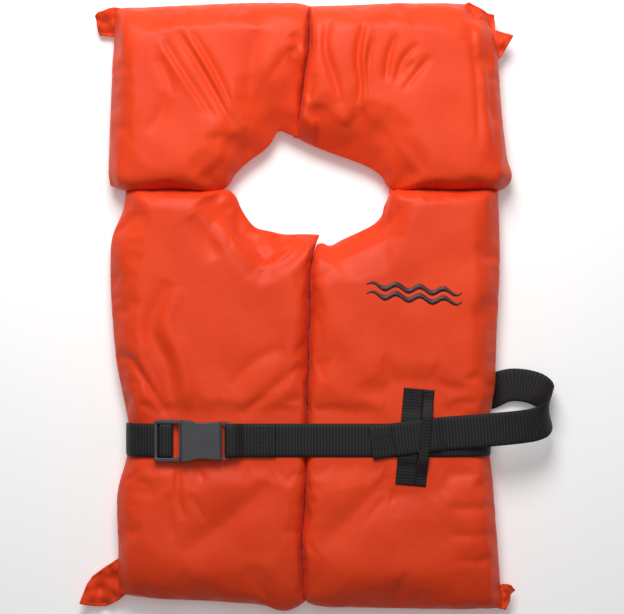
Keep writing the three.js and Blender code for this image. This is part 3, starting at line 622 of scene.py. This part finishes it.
class Pad:
    """One stuffed pad: a grid between its four edges, once for the front and once for the back."""

    def __init__(self, name, top_z):
        self.name = name
        fold_y = SHOULDER_Y + (LAP if "chest" in name else -LAP)
        self.edges = {
            k: curve_through([(x, fold_y if abs(y - SHOULDER_Y) < 1.6 else y) for x, y in v])
            for k, v in OUTLINES[name].items()
        }
        inner = "right" if name.startswith("left") else "left"
        self.edges[inner] += [LAP if inner == "right" else -LAP, 0]
        size = {k: lengths_along(v)[-1] for k, v in self.edges.items()}
        across = spacing((size["bottom"] + size["top"]) / 2)
        up = spacing((size["left"] + size["right"]) / 2)
        bottom, top = spread(self.edges["bottom"], across), spread(self.edges["top"], across)
        left, right = spread(self.edges["left"], up), spread(self.edges["right"], up)
        u, v = across[None, :, None], up[:, None, None]
        corners = (
            (1 - u) * (1 - v) * bottom[0] + u * (1 - v) * bottom[-1]
            + (1 - u) * v * top[0] + u * v * top[-1]
        )
        grid = (
            (1 - v) * bottom[None] + v * top[None] + (1 - u) * left[:, None] + u * right[:, None]
            - corners
        )
        self.rows, self.columns = grid.shape[:2]
        self.xy = grid.reshape(-1, 2)
        self.near = {k: nearest_on(line, self.xy) for k, line in self.edges.items()}
        inside = np.zeros(grid.shape[:2], bool)
        inside[1:-1, 1:-1] = True
        self.inside = inside.reshape(-1)
        self.belt = np.exp(-(np.maximum(np.abs(self.xy[:, 1] - BELT_Y) - 16, 0) / 13) ** 2)
        self.front = self.front_height(top_z - SEAM_Z)
        self.back = self.back_height(SEAM_Z - ABOVE_TABLE)

    def rounded(self, scale=1.0, belt_radius=None):
        h = np.ones(len(self.xy))
        for edge, (kind, radius, *neck_radius) in ROUNDING[self.name].items():
            near = self.near[edge][0]
            if kind == "side":
                rise = over_foam(near, radius * scale)
            else:
                rise = dome(near, radius * scale, FULLNESS[kind])
            if kind == "side" and belt_radius:
                rise = rise + (dome(near, belt_radius, 2.0) - rise) * self.belt
            if neck_radius:
                in_neck = smooth((NECK_HALF_WIDTH + 8 - np.abs(self.xy[:, 0] + 5)) / 16)
                rise = rise + (over_foam(near, neck_radius[0] * scale) - rise) * in_neck
            h = h * rise
        return h

    def towards_neck(self):
        """Share of the height that is left where the cloth slopes down to the neck opening."""
        if self.name not in NECK_CRESTS:
            return 1.0
        path = curve_through(NECK_CRESTS[self.name])
        off, along, side = nearest_on(path, self.xy)
        t = along / lengths_along(path)[-1]
        low_side = smooth(0.5 - side * off / 10) * smooth(t / 0.1) * smooth((1 - t) / 0.1)
        neck = self.near["top" if "chest" in self.name else "bottom"][0]
        return 1 - low_side * (0.15 + 0.56 * off / (off + neck + 0.1))

    def front_height(self, rise):
        h = rise * self.rounded(belt_radius=41) * self.towards_neck()
        return np.where(self.inside, h, 0)

    def back_height(self, fall):
        h = fall * self.rounded(0.6)
        pressed = np.zeros(len(self.xy))
        if "chest" in self.name:
            for run in back_runs():
                off = nearest_on(run, self.xy)[0]
                pressed = np.maximum(pressed, 3.1 * (1 - smooth((off - WEB / 2 - 0.5) / 9)))
        return np.where(self.inside, np.minimum(h, fall - pressed), 0)

    def relief(self, xy):
        """Height that folds, gathers and slack add to the front."""
        total = np.zeros(len(xy))
        for width, height, line in FOLDS[self.name]:
            path = curve_through(line)
            off, along, _ = nearest_on(path, xy)
            t = along / lengths_along(path)[-1]
            fade = np.sqrt(np.clip(np.sin(np.pi * np.clip(t, 0.0, 1.0)), 0, 1))
            sharpness = 1.6 if height < 0 else 2.0
            total += height * fade * np.exp(-(off / width) ** sharpness)
        from_edge = np.min([nearest_on(line, xy)[0] for line in self.edges.values()], axis=0)
        return total * smooth(from_edge / 12)

    def keep_off(self, xy):
        """Less than 1 where the belt or the keeper presses the cloth flat."""
        if "chest" not in self.name:
            return np.ones(len(xy))
        belt = np.exp(-(np.maximum(np.abs(xy[:, 1] - BELT_Y) - 16, 0) / 13) ** 2)
        hold = 1 - 0.92 * belt
        if self.name == "right_chest":
            low, high = node_mm("belt_keeper")
            gap = np.maximum(np.abs(xy - [(low[0] + high[0]) / 2, (low[1] + high[1]) / 2])
                             - [(high[0] - low[0]) / 2, (high[1] - low[1]) / 2], 0)
            hold = np.minimum(hold, 0.08 + 0.92 * smooth(np.hypot(gap[:, 0], gap[:, 1]) / 14))
        return hold

    def gathers(self, seed):
        """Puckers that run in from the sewn edges, and gentle unevenness everywhere."""
        rng = np.random.default_rng(seed)
        total = np.zeros(len(self.xy))
        for edge, strength in (("bottom", 1.0), ("right", 0.7), ("top", 1.0), ("left", 0.7)):
            off, along, _ = self.near[edge]
            phase = rng.uniform(0, 6.28, 5)
            swing = (
                np.sin(along / 3.4 + 1.8 * np.sin(along / 13 + phase[0]) + phase[1])
                + 0.8 * np.sin(along / 6.1 + 1.3 * np.sin(along / 21 + phase[2]) + phase[3])
            )
            patchy = 0.35 + 0.65 * (0.5 + 0.5 * np.sin(along / 27 + phase[4])) ** 2
            total += strength * 0.42 * patchy * swing * np.exp(-off / 11) * smooth(off / 4)
        for _ in range(7):
            way = rng.normal(size=2)
            way /= np.linalg.norm(way)
            pitch = rng.uniform(45, 130)
            total += 0.25 * np.sin((self.xy @ way) / pitch * 6.28 + rng.uniform(0, 6.28))
        return total

    def build(self):
        n = self.rows * self.columns
        front = SEAM_Z + self.front
        back = SEAM_Z - self.back
        points = np.concatenate([
            np.column_stack([self.xy, front]), np.column_stack([self.xy, back])[self.inside],
        ])
        where = np.arange(n)
        where[self.inside] = n + np.arange(self.inside.sum())
        index = np.arange(n).reshape(self.rows, self.columns)
        a, b = index[:-1, :-1].ravel(), index[:-1, 1:].ravel()
        c, d = index[1:, 1:].ravel(), index[1:, :-1].ravel()
        faces = np.concatenate([np.stack([a, b, c, d], 1), np.stack([d, c, b, a], 1)])
        faces[len(a):] = where[faces[len(a):]]
        self.obj = new_mesh(self.name + "_pad", points, faces, SHELL)
        self.obj.data.update()
        return self.obj


def pushed(obj, amount):
    """Moves each point along its normal, by millimetres."""
    normal = np.zeros(len(amount) * 3)
    obj.data.vertices.foreach_get("normal", normal)
    set_points(obj, points_of(obj) + normal.reshape(-1, 3) * (amount[:, None] * MM))


def swollen(obj, pinned, cap=5.0, excess=0.012, frames=20, pressure=4.0):
    """Cloth simulation of the stuffed shell, whose cloth is larger by the share `excess`. The pinned
    points stay, and no point moves by more than `cap` millimetres."""
    group = obj.vertex_groups.new(name="pinned")
    for i, weight in enumerate(pinned):
        if weight > 0:
            group.add([i], float(weight), "REPLACE")
    start = points_of(obj)
    modifier = obj.modifiers.new("Cloth", "CLOTH")
    s = modifier.settings
    s.quality = 6
    s.mass = 0.25
    s.tension_stiffness = s.compression_stiffness = 18
    s.shear_stiffness = 8
    s.bending_stiffness = 0.6
    s.use_pressure = True
    s.uniform_pressure_force = pressure
    s.effector_weights.gravity = 0
    s.vertex_group_mass = "pinned"
    s.pin_stiffness = 4
    s.shrink_min = -excess
    modifier.point_cache.frame_start, modifier.point_cache.frame_end = 1, frames
    scene = bpy.context.scene
    for number in range(1, frames + 1):
        scene.frame_set(number)
        bpy.context.view_layer.update()
    evaluated = obj.evaluated_get(bpy.context.evaluated_depsgraph_get())
    end = points_of(evaluated)
    obj.modifiers.clear()
    obj.vertex_groups.clear()
    scene.frame_set(1)
    move = (end - start) * (1 - np.clip(pinned, 0, 1))[:, None]
    size = np.maximum(np.linalg.norm(move, axis=1), 1e-9)
    move *= (np.minimum(size, cap * MM) / size)[:, None]
    set_points(obj, start + move)


def make_pad(name, top_z, seed):
    pad = Pad(name, top_z)
    obj = pad.build()
    rim = ~pad.inside
    hold = pad.keep_off(pad.xy)
    relief = pad.relief(pad.xy)
    front = (relief * 0.8 + pad.gathers(seed)) * hold
    front[rim] = 0
    whole = np.concatenate([front, np.zeros(pad.inside.sum())])
    pushed(obj, whole)
    pinned = np.where(rim, 1.0, 1 - hold)
    pinned = np.concatenate([pinned, np.ones(pad.inside.sum())])
    swollen(obj, pinned)
    subdivide(obj)
    co = (points_of(obj) - ORIGIN) / MM
    late = pad.relief(co[:, :2]) * smooth((co[:, 2] - SEAM_Z - 2) / 8)
    pushed(obj, late * 0.6 * pad.keep_off(co[:, :2]))
    obj.data.shade_smooth()
    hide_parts(name + "_front_cover", name + "_back_cover")
    return pad, obj


MADE = {}
for pad_name, pad_top, pad_seed in (
    ("left_chest", CHEST_TOP, 11), ("right_chest", CHEST_TOP, 12),
    ("left_collar", COLLAR_TOP, 13), ("right_collar", COLLAR_TOP, 14),
):
    MADE[pad_name] = make_pad(pad_name, pad_top, pad_seed)
PADS = {pad_name: obj for pad_name, (_, obj) in MADE.items()}


# ------------------------------------------------------------------ foam in the pads
def foam_stack(name, pad, tree):
    """Three sheets of foam that fill a pocket, cut short of its seams and eased to its shape."""
    grid = np.arange(len(pad.xy)).reshape(pad.rows, pad.columns)[8:-8:2, 7:-7:2]
    faces = two_layer_faces(*grid.shape)
    xy = pad.xy[grid.ravel()]
    top, bottom = np.zeros(len(xy)), np.zeros(len(xy))
    for k, (x, y) in enumerate(xy):
        top[k] = millimetres(tree.ray_cast(at(x, y, 120), Vector((0, 0, -1)))[0])[2] - 5.5
        bottom[k] = millimetres(tree.ray_cast(at(x, y, -50), Vector((0, 0, 1)))[0])[2] + 1.2
    for layer in range(3):
        high = bottom + (top - bottom) * (layer + 1) / 3 - 0.3
        low = bottom + (top - bottom) * layer / 3
        points = np.concatenate([np.column_stack([xy, high]), np.column_stack([xy, low])])
        node = f"{name}_foam_{layer + 1}"
        sheet = new_mesh(node + "_sheet", points, faces, FOAM, smooth=False)
        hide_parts(node)
        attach(sheet, "collar" if "collar" in name else "root")


bpy.context.view_layer.update()
for pad_name, (pad, pad_obj) in MADE.items():
    foam_stack(pad_name, pad, BVHTree.FromObject(pad_obj, bpy.context.evaluated_depsgraph_get()))


# ------------------------------------------------------------------ corners with no filling
# name: the body it rides on, its outline, and points (x, y, z) that its creased cloth passes near
FLAPS = {
    "top_left": ("collar", [
        (-221, 341), (-230.9, 343.4), (-236.6, 342), (-242.4, 339.4), (-248.1, 338.6), (-253.2, 334),
        (-251.6, 326.5), (-251, 318.5), (-249.3, 312.9), (-230.9, 311), (-221, 312),
    ], [(-221, 341, 25), (-221, 312, 12), (-230, 327, 18), (-240, 338, 25), (-237, 314, 8.5),
        (-243, 324, 14), (-249, 337, 22), (-252, 329, 15), (-250, 314, 7)]),
    "top_right": ("collar", [
        (172, 346), (177, 348.2), (189, 342.2), (201, 336.5), (206.8, 336.3), (207.6, 326),
        (207.8, 318.2), (227.7, 309.6), (221, 298), (214.7, 287.2), (208, 281), (196, 290),
        (188, 322),
    ], [(176, 346, 27), (188, 330, 32), (190, 340, 25), (201, 336, 17), (207, 335, 13),
        (206, 326, 15), (207, 317, 17), (203, 308, 22), (200, 296, 22), (209, 285, 20),
        (214, 303, 27), (227, 309.5, 29), (216, 292, 21)]),
    "bottom_left": ("root", [
        (-217, -290), (-226, -290.4), (-243.2, -302.2), (-256.7, -312.3), (-262.5, -320.3),
        (-269.1, -336.9), (-271.4, -343.6), (-258.1, -346.8), (-241.8, -348.2), (-226.4, -339.6),
        (-217, -331),
    ], [(-218, -292, 23), (-218, -330, 20), (-228, -300, 20), (-228, -325, 17), (-243, -303, 15),
        (-256, -314, 10.5), (-249, -328, 6.5), (-243, -346, 4.5), (-236, -316, 12),
        (-232, -338, 12), (-263, -323, 15), (-268, -338, 15), (-271, -343, 17), (-256, -345, 10),
        (-259, -334, 14)]),
    "bottom_right": ("root", [
        (205, -322), (213.1, -321.8), (216.3, -320.4), (221.1, -320), (226.7, -322.4),
        (232, -328.9), (225.9, -332.6), (225.3, -340.2), (219.4, -350), (213, -348.6), (205, -346),
    ], [(206, -324, 22), (206, -345, 20), (213, -334, 17), (215, -323, 17), (214, -346, 16),
        (220, -325, 23), (218.5, -335, 22), (217.5, -346, 21), (226, -324, 15), (231, -329, 9),
        (224, -338, 15)]),
}


def flap(name, body, outline, heights):
    """A corner of the shell with nothing in it: two layers of cloth, creased, with a stitched edge."""
    corners = np.array(outline, float)
    edge = []
    for a, b in zip(corners, np.roll(corners, -1, axis=0)):
        n = max(2, int(np.linalg.norm(b - a) / 1.6))
        edge += [a + (b - a) * t for t in np.linspace(0, 1, n, endpoint=False)]
    edge = np.array(edge)
    ring = np.vstack([edge, edge[:1]])
    low, high = corners.min(0), corners.max(0)
    gx, gy = np.meshgrid(np.arange(low[0], high[0], 1.9), np.arange(low[1], high[1], 1.9))
    inner = np.column_stack([gx.ravel(), gy.ravel()])
    a, b = ring[:-1], ring[1:]
    crossings = np.zeros(len(inner), int)
    for p, q in zip(a, b):
        spans = (p[1] > inner[:, 1]) != (q[1] > inner[:, 1])
        reach = p[0] + (inner[:, 1] - p[1]) / (q[1] - p[1] + 1e-12) * (q[0] - p[0])
        crossings += spans & (inner[:, 0] < reach)
    inner = inner[(crossings % 2 == 1) & (nearest_on(ring, inner)[0] > 1.1)]
    xy = np.vstack([edge, inner])
    loop = [(k, (k + 1) % len(edge)) for k in range(len(edge))]
    flat, _, triangles, _, _, _ = delaunay_2d_cdt(
        [Vector(q) for q in xy], loop, [list(range(len(edge)))], 1, 1e-4)
    xy = np.array([tuple(q) for q in flat])
    known = np.array(heights, float)
    away = np.hypot(xy[:, None, 0] - known[None, :, 0], xy[:, None, 1] - known[None, :, 1])
    weight = 1 / (away + 2.5) ** 3
    z = (weight * known[None, :, 2]).sum(1) / weight.sum(1)
    off, along, _ = nearest_on(ring, xy)
    z += 0.7 * np.exp(-(off / 1.3) ** 2) - 0.6 * np.exp(-((off - 3.0) / 1.0) ** 2)
    z += 0.5 * np.sin(along / 2.3) * np.exp(-off / 4)
    obj = new_mesh(name + "_flap", np.column_stack([xy, z]), triangles, SHELL)
    solid = obj.modifiers.new("Cloth layers", "SOLIDIFY")
    solid.thickness = 1.1 * MM
    solid.offset = 0
    apply_modifiers(obj)
    obj.data.shade_smooth()
    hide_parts(name + "_tab")
    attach(obj, body)


for flap_name, flap_parts in FLAPS.items():
    flap(flap_name, *flap_parts)


def surface_z(tree, x, y):
    hit = tree.ray_cast(at(x, y, 120), Vector((0, 0, -1)))[0]
    return None if hit is None else millimetres(hit)[2]


# ------------------------------------------------------------------ printed mark on the right chest
def printed_mark():
    """A generic mark: two rows of waves, laid on the cloth."""
    tree = BVHTree.FromObject(PADS["right_chest"], bpy.context.evaluated_depsgraph_get())
    points, faces = [], []
    left, middle_y, slope, length = 58.5, 19.0, -0.088, 108.0
    rows_apart, half_stroke, wave_height, waves = 10.4, 3.1, 3.0, 4
    steps = 96
    for row, offset in enumerate((rows_apart / 2, -rows_apart / 2)):
        for i in range(steps + 1):
            x = left + length * i / steps
            y = middle_y + slope * (x - left) + offset
            wave = wave_height * math.sin((x - left) / length * 2 * math.pi * waves)
            thick = half_stroke * min(1.0, 0.25 + 4.0 * min(i, steps - i) / steps)
            for side in (-1, 0, 1):
                yy = y + wave + side * thick
                z = surface_z(tree, x, yy)
                points.append((x, yy, (z if z is not None else CHEST_TOP) + 0.2))
        base = row * 3 * (steps + 1)
        for i in range(steps):
            for k in range(2):
                a = base + 3 * i + k
                faces.append((a, a + 3, a + 4, a + 1))
    obj = new_mesh("printed_mark", points, faces, INK)
    solid = obj.modifiers.new("Solid", "SOLIDIFY")
    solid.thickness = 0.2 * MM
    solid.offset = 1
    apply_modifiers(obj)
    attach(obj, "root")
    return obj


printed_mark()


# ------------------------------------------------------------------ webbing
RIB = 3.6  # one rib across the webbing every so often
RIB_HEIGHT = 0.3


def rounded_path(points, radius, step=0.9):
    """The broken line with its corners rounded, as even points."""
    p = [np.array(q, float) for q in points]
    out = [p[0]]
    for a, b, c in zip(p, p[1:], p[2:]):
        u, v = a - b, c - b
        lu, lv = np.linalg.norm(u), np.linalg.norm(v)
        cut = min(radius, 0.48 * lu, 0.48 * lv)
        first, last = b + u / lu * cut, b + v / lv * cut
        for t in np.linspace(0, 1, 7):
            out.append((1 - t) ** 2 * first + 2 * t * (1 - t) * b + t ** 2 * last)
    out.append(p[-1])
    line = np.array(out)
    keep = np.concatenate([[True], np.linalg.norm(np.diff(line, axis=0), axis=1) > 1e-6])
    line = line[keep]
    n = max(2, int(round(lengths_along(line)[-1] / step)))
    return spread(line, np.linspace(0, 1, n + 1))


def webbing(name, path, across, width=WEB, thickness=1.9, material=WEBBING, radius=4.0, rib=RIB_HEIGHT):
    """Woven strip along a path. `across` gives the direction of its width at each path point."""
    line = rounded_path(path, radius)
    key = lengths_along(np.array(path, float))
    s_line = lengths_along(line)
    place = s_line / s_line[-1] * key[-1]
    wide = np.stack([np.interp(place, key, np.array(across, float)[:, k]) for k in range(3)], 1)
    tangent = np.gradient(line, axis=0)
    tangent /= np.linalg.norm(tangent, axis=1)[:, None]
    wide -= (wide * tangent).sum(1)[:, None] * tangent
    wide /= np.linalg.norm(wide, axis=1)[:, None]
    up = np.cross(tangent, wide)
    lanes = 15
    t = np.linspace(-1, 1, lanes)
    body = np.clip((1 - np.abs(t) ** 10), 0, 1) ** 0.5  # rounded selvedges
    ribs = np.cos(s_line / RIB * 2 * math.pi)
    ends = np.minimum(1, np.minimum(s_line, s_line[-1] - s_line) / 0.9 + 0.3)
    half = thickness / 2
    scallop = 1 - 0.004 * (1 - ribs)
    points, uvs = [], []
    for face in (1, -1):
        for j in range(lanes):
            lift = half * body[j] * ends + rib * ribs * body[j] * 0.5 - rib * 0.5
            lift = np.maximum(lift, 0.05)
            row = line + wide * (t[j] * width / 2 * scallop)[:, None] + up * (face * lift)[:, None]
            points.append(row)
            uvs.append(np.column_stack([s_line / 100, np.full(len(line), t[j] * width / 200 + 0.2)]))
    uvs = np.concatenate(uvs)
    faces = two_layer_faces(lanes, len(line))
    obj = new_mesh(name, np.concatenate(points), faces, material)
    layer = obj.data.uv_layers.new(name="UVMap")
    corner = np.zeros(len(obj.data.loops), int)
    obj.data.loops.foreach_get("vertex_index", corner)
    layer.data.foreach_set("uv", uvs[corner].ravel())
    face_outwards(obj)
    return obj, s_line[-1]


def heading(degrees, roll=0.0):
    h, r = math.radians(degrees), math.radians(roll)
    return (-math.sin(h) * math.cos(r), math.cos(h) * math.cos(r), math.sin(r))


def in_belt_plane(pairs):
    return [(x, BELT_Y, z) for x, z in pairs], [(0, 1, 0)] * len(pairs)


FRONT_RISE = CHEST_TOP - SEAM_Z
# (distance in from the pad's edge, share of the rise) of the front and the back beside an edge
FRONT_EDGE = [(44, 1.0), (26, 0.94), (12, 0.8), (5, 0.58), (1.5, 0.32)]
BACK_EDGE = [(0, 0.0), (2, 0.45), (6, 0.8), (10.5, 0.92)]


def round_edge(sign, edge_x, lift, bottom=True):
    """Path [x, z] of webbing that goes over the crown and round an outer edge of the chest."""
    path = [(edge_x - sign * d, SEAM_Z + 0.6 + (FRONT_RISE - 0.6) * f) for d, f in FRONT_EDGE]
    path += [(edge_x, SEAM_Z)]
    path += [(edge_x - sign * d, SEAM_Z - 0.6 - (SEAM_Z - 0.8) * f) for d, f in BACK_EDGE[1:]]
    p = np.array(path)
    tangent = np.gradient(p, axis=0)
    tangent /= np.linalg.norm(tangent, axis=1)[:, None]
    outward = np.column_stack([tangent[:, 1], -tangent[:, 0]]) * (-sign)
    p = p + outward * lift
    return [tuple(q) for q in p if q[1] > 1.3 or not bottom]


def belt():
    left_edge = node_mm("buckle_strap")[0][0] + 4.9
    right_edge = node_mm("socket_strap")[1][0] - 2.3
    bar_x = SOCKET_HIGH[0] - 8.6 - 1.15  # in the socket's slot, against its bar
    over_bar = SOCKET_LOW[2] + 10.0
    end_x = SOCKET_HIGH[0] + 47
    path = [(end_x, LAYER_2), (SOCKET_HIGH[0] + 11, LAYER_2), (SOCKET_HIGH[0] + 2, over_bar),
            (bar_x, over_bar), (bar_x, LAYER_1)]
    path += round_edge(1, right_edge, 1.3)
    path += [(right_edge - 14, 1.05), (right_edge - 50, 1.05)]
    points, across = in_belt_plane(path)
    strap, _ = webbing("socket_strap_webbing", points, across, radius=3.4)
    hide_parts("socket_strap")
    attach(strap, "root")

    outer_x, inner_x = PLUG_LOW[0] + 5.7, PLUG_LOW[0] + 20.2
    over_plug = PLUG_LOW[2] - 0.4 + 6.8 + 1.3
    inner = [(inner_x, LAYER_1)]
    lap = round_edge(-1, left_edge, 1.3)
    tail = [q for q in round_edge(-1, left_edge, 3.6) if q[1] > 12]
    path = [(-163.5, 1.05), (left_edge + 14, 1.05), *lap[::-1], *inner, (inner_x, over_plug),
            (outer_x, over_plug), (outer_x, LAYER_2), *tail[1:]]
    points, across = in_belt_plane(path)
    strap, _ = webbing("buckle_strap_webbing", points, across, radius=3.0)
    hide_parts("buckle_strap")
    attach(strap, "plug")


belt()

OVER_KEEPER = LAYER_2 + 1.9


def stations(rows):
    """Rows (x, y, z, heading, roll) as points and width directions."""
    return [(x, y, z) for x, y, z, _, _ in rows], [heading(h, r) for _, _, _, h, r in rows]


belt_rows = [
    (63.5, -155.7, LAYER_2, 8, 0), (88, -152, LAYER_2, 8, 0), (91, -151.5, OVER_KEEPER, 8, 0),
    (138.5, -145.4, OVER_KEEPER, 7, 0), (146.5, -144.6, LAYER_2, 6, 0),
    (176.5, -142.4, LAYER_2, 5, 0), (202.5, -140.3, LAYER_2 - 0.5, 5, 0),
    (216.5, -139.1, 50.4, 5, 0), (232.5, -137.6, 48.6, 4, 0), (248.5, -135.6, 45, 3, 0),
    (260.5, -132, 40, 2, 0), (267, -124, 33, 0, 0), (268.5, -114, 25.5, 0, 0),
    (266, -104, 18, 0, 0), (257.5, -96, 12.8, 0, 0), (243.5, -92, 10.4, 0, 0),
    (228.5, -91, 8.4, 2, 0), (216.5, -93.8, 6, 4, 0), (207.5, -99, 3.2, 6, 0),
    (200.5, -102.2, 1.6, 8, 0), (191.8, -103.5, 1.05, 8, 0), (-163.5, BELT_Y, 1.05, 8, 0),
]
loop, belt_length = webbing("belt_webbing", *stations(belt_rows), radius=7.0)
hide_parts("belt_end_strap", "belt_slack_loop", "belt_return_strap", "belt_back_run")
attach(loop, "root")


# ------------------------------------------------------------------ keeper
KEEPER_TILT = 5.2
KEEPER_WIDTH = 35.0
KEEPER_LENGTH = 110.0
KEEPER_AT = (113.5, -149.0)


def on_keeper(along, off):
    t = math.radians(KEEPER_TILT)
    return (
        KEEPER_AT[0] + along * math.sin(t) + off * math.cos(t),
        KEEPER_AT[1] + along * math.cos(t) - off * math.sin(t),
    )


def keeper():
    """A sewn-down tab with a slot along it: the belt end passes over one band and under the other."""
    sewn = CHEST_TOP + 1.1
    over_strap = LAYER_1 + 2.1
    over_end = OVER_KEEPER + 2.1
    end = KEEPER_LENGTH / 2
    slot = 5.6
    across = heading(-KEEPER_TILT - 90)
    across = tuple(-c for c in across)
    made = []
    for name, profile, off, width in (
        ("wide", [(-end, sewn), (-33, sewn), (-26, over_strap), (22, over_strap), (30, sewn),
                  (end, sewn)], (slot - KEEPER_WIDTH / 2) / 2, slot + KEEPER_WIDTH / 2),
        ("narrow", [(-end, sewn), (-42, sewn), (-27, over_end), (26, over_end), (42, sewn),
                    (end, sewn)], (slot + KEEPER_WIDTH / 2) / 2, KEEPER_WIDTH / 2 - slot),
    ):
        path = [(*on_keeper(along, off), z) for along, z in profile]
        band, _ = webbing("keeper_" + name, path, [across] * len(path), width=width, thickness=1.5,
                          material=KEEPER_WEBBING, radius=5.0, rib=0.08)
        made.append(band)
    bpy.ops.object.select_all(action="DESELECT")
    for band in made:
        band.select_set(True)
    bpy.context.view_layer.objects.active = made[0]
    bpy.ops.object.join()
    made[0].name = "keeper_webbing"
    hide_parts("belt_keeper")
    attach(made[0], "root")


keeper()


# ------------------------------------------------------------------ thread
def stitched(name, runs, material, radius=0.36, pitch=2.6, gap=0.5, body="root", replace=()):
    """Rows of lock stitches: short rounded threads that dip at both ends."""
    points, faces = [], []
    sides = 6
    for run in runs:
        line = np.array(run, float)
        s = lengths_along(line)
        count = max(1, int(round(s[-1] / pitch)))
        for k in range(count):
            start, stop = (k + gap / 2 / pitch) / count, (k + 1 - gap / 2 / pitch) / count
            base = len(points)
            ts = np.linspace(start, stop, 5)
            centre = spread(line, ts)
            tangent = np.gradient(centre, axis=0)
            tangent /= np.linalg.norm(tangent, axis=1)[:, None]
            side = np.cross(tangent, [0, 0, 1.0])
            side /= np.linalg.norm(side, axis=1)[:, None]
            for i, q in enumerate(centre):
                bulge = math.sin(math.pi * (0.12 + 0.76 * i / 4))
                for m in range(sides):
                    a = 2 * math.pi * m / sides
                    lift = radius * bulge * math.sin(a) + radius * (bulge - 0.8)
                    points.append(q + side[i] * radius * bulge * math.cos(a) + np.array([0, 0, lift]))
            for i in range(4):
                for m in range(sides):
                    a, b = base + i * sides + m, base + i * sides + (m + 1) % sides
                    faces.append((a, b, b + sides, a + sides))
    obj = new_mesh(name, np.array(points), faces, material)
    if replace:
        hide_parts(*replace)
    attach(obj, body)
    return obj


def box_runs(centre, length, width, z, turn):
    """A rectangle of stitches and its two diagonals."""
    c, s = math.cos(math.radians(turn)), math.sin(math.radians(turn))
    corner = [
        (centre[0] + c * u * length / 2 - s * v * width / 2,
         centre[1] + s * u * length / 2 + c * v * width / 2, z)
        for u, v in ((-1, -1), (1, -1), (1, 1), (-1, 1))
    ]
    pairs = ((0, 1), (1, 2), (2, 3), (3, 0), (0, 2), (1, 3))
    return [[corner[a], corner[b]] for a, b in pairs]


def middle_of(node):
    low, high = node_mm(node)
    return (low[0] + high[0]) / 2, (low[1] + high[1]) / 2


ON_LAYER_2 = LAYER_2 + 1.15
stitched("socket_end_thread", box_runs(middle_of("socket_end_stitch"), 25, 29, ON_LAYER_2, 0),
         BLACK_THREAD, replace=["socket_end_stitch"])
stitched("belt_end_thread", box_runs(middle_of("belt_end_stitch"), 17, 16, ON_LAYER_2, 8),
         BLACK_THREAD, replace=["belt_end_stitch"])
for end in ("top", "bottom"):
    node = f"keeper_{end}_stitch"
    stitched(f"keeper_{end}_thread", box_runs(middle_of(node), 29, 7, CHEST_TOP + 2.0, -KEEPER_TILT),
             BLACK_THREAD, replace=[node])


# ------------------------------------------------------------------ buckle
def moulded(name, node, body, voxel=0.5, passes=3):
    """The CAD part with its edges rounded as moulding leaves them."""
    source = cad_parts[node]
    obj = bpy.data.objects.new(name, source.data.copy())
    bpy.context.scene.collection.objects.link(obj)
    remesh = obj.modifiers.new("Remesh", "REMESH")
    remesh.mode = "VOXEL"
    remesh.voxel_size = voxel * MM
    relax = obj.modifiers.new("Relax", "SMOOTH")
    relax.factor = 0.5
    relax.iterations = passes
    apply_modifiers(obj)
    obj.data.shade_smooth()
    give(obj, PLASTIC)
    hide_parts(node)
    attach(obj, body)
    return obj


moulded("socket_moulding", "buckle_socket", "root")
moulded("plug_moulding", "buckle_plug", "plug")
moulded("upper_prong_moulding", "prong_upper", "prong_upper", 0.4)
moulded("lower_prong_moulding", "prong_lower", "prong_lower", 0.4)


# ------------------------------------------------------------------ channels between the pads
def channel(name, node, path):
    """The quilted strip between two pads: two layers of shell sewn together, slightly puckered."""
    low, high = node_mm(node)
    line = curve_through(path, 2.5)
    width = min(high[0] - low[0], high[1] - low[1]) + 1.0
    tangent = np.gradient(line, axis=0)
    tangent /= np.linalg.norm(tangent, axis=1)[:, None]
    side = np.column_stack([-tangent[:, 1], tangent[:, 0]])
    n, m = len(line) - 1, 8
    points = []
    for face in (1, -1):
        for i in range(n + 1):
            for k in range(m + 1):
                w = k / m - 0.5
                pucker = 0.3 * math.sin(i * 1.7) * math.cos(w * math.pi)
                place = line[i] + side[i] * w * width
                points.append((*place, SEAM_Z + face * 0.7 * math.cos(w * 1.3) + pucker))
    faces = two_layer_faces(n + 1, m + 1)
    obj = new_mesh(name, points, faces, SHELL)
    face_outwards(obj)
    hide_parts(node)
    return obj


for side in ("left", "right"):
    node = f"{side}_shoulder_channel"
    (x0, _, _), (x1, _, _) = node_mm(node)
    strip = channel(f"{side}_shoulder_strip", node, [(x0 + 5, FOLD_Y), (x1 - 5, FOLD_Y)])
    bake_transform(strip)
strip = channel("collar_centre_strip", "collar_centre_channel",
                OUTLINES["left_collar"]["right"][:-1] + [(-6.9, 342)])
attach(strip, "collar")
for pad in PADS.values():
    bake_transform(pad)
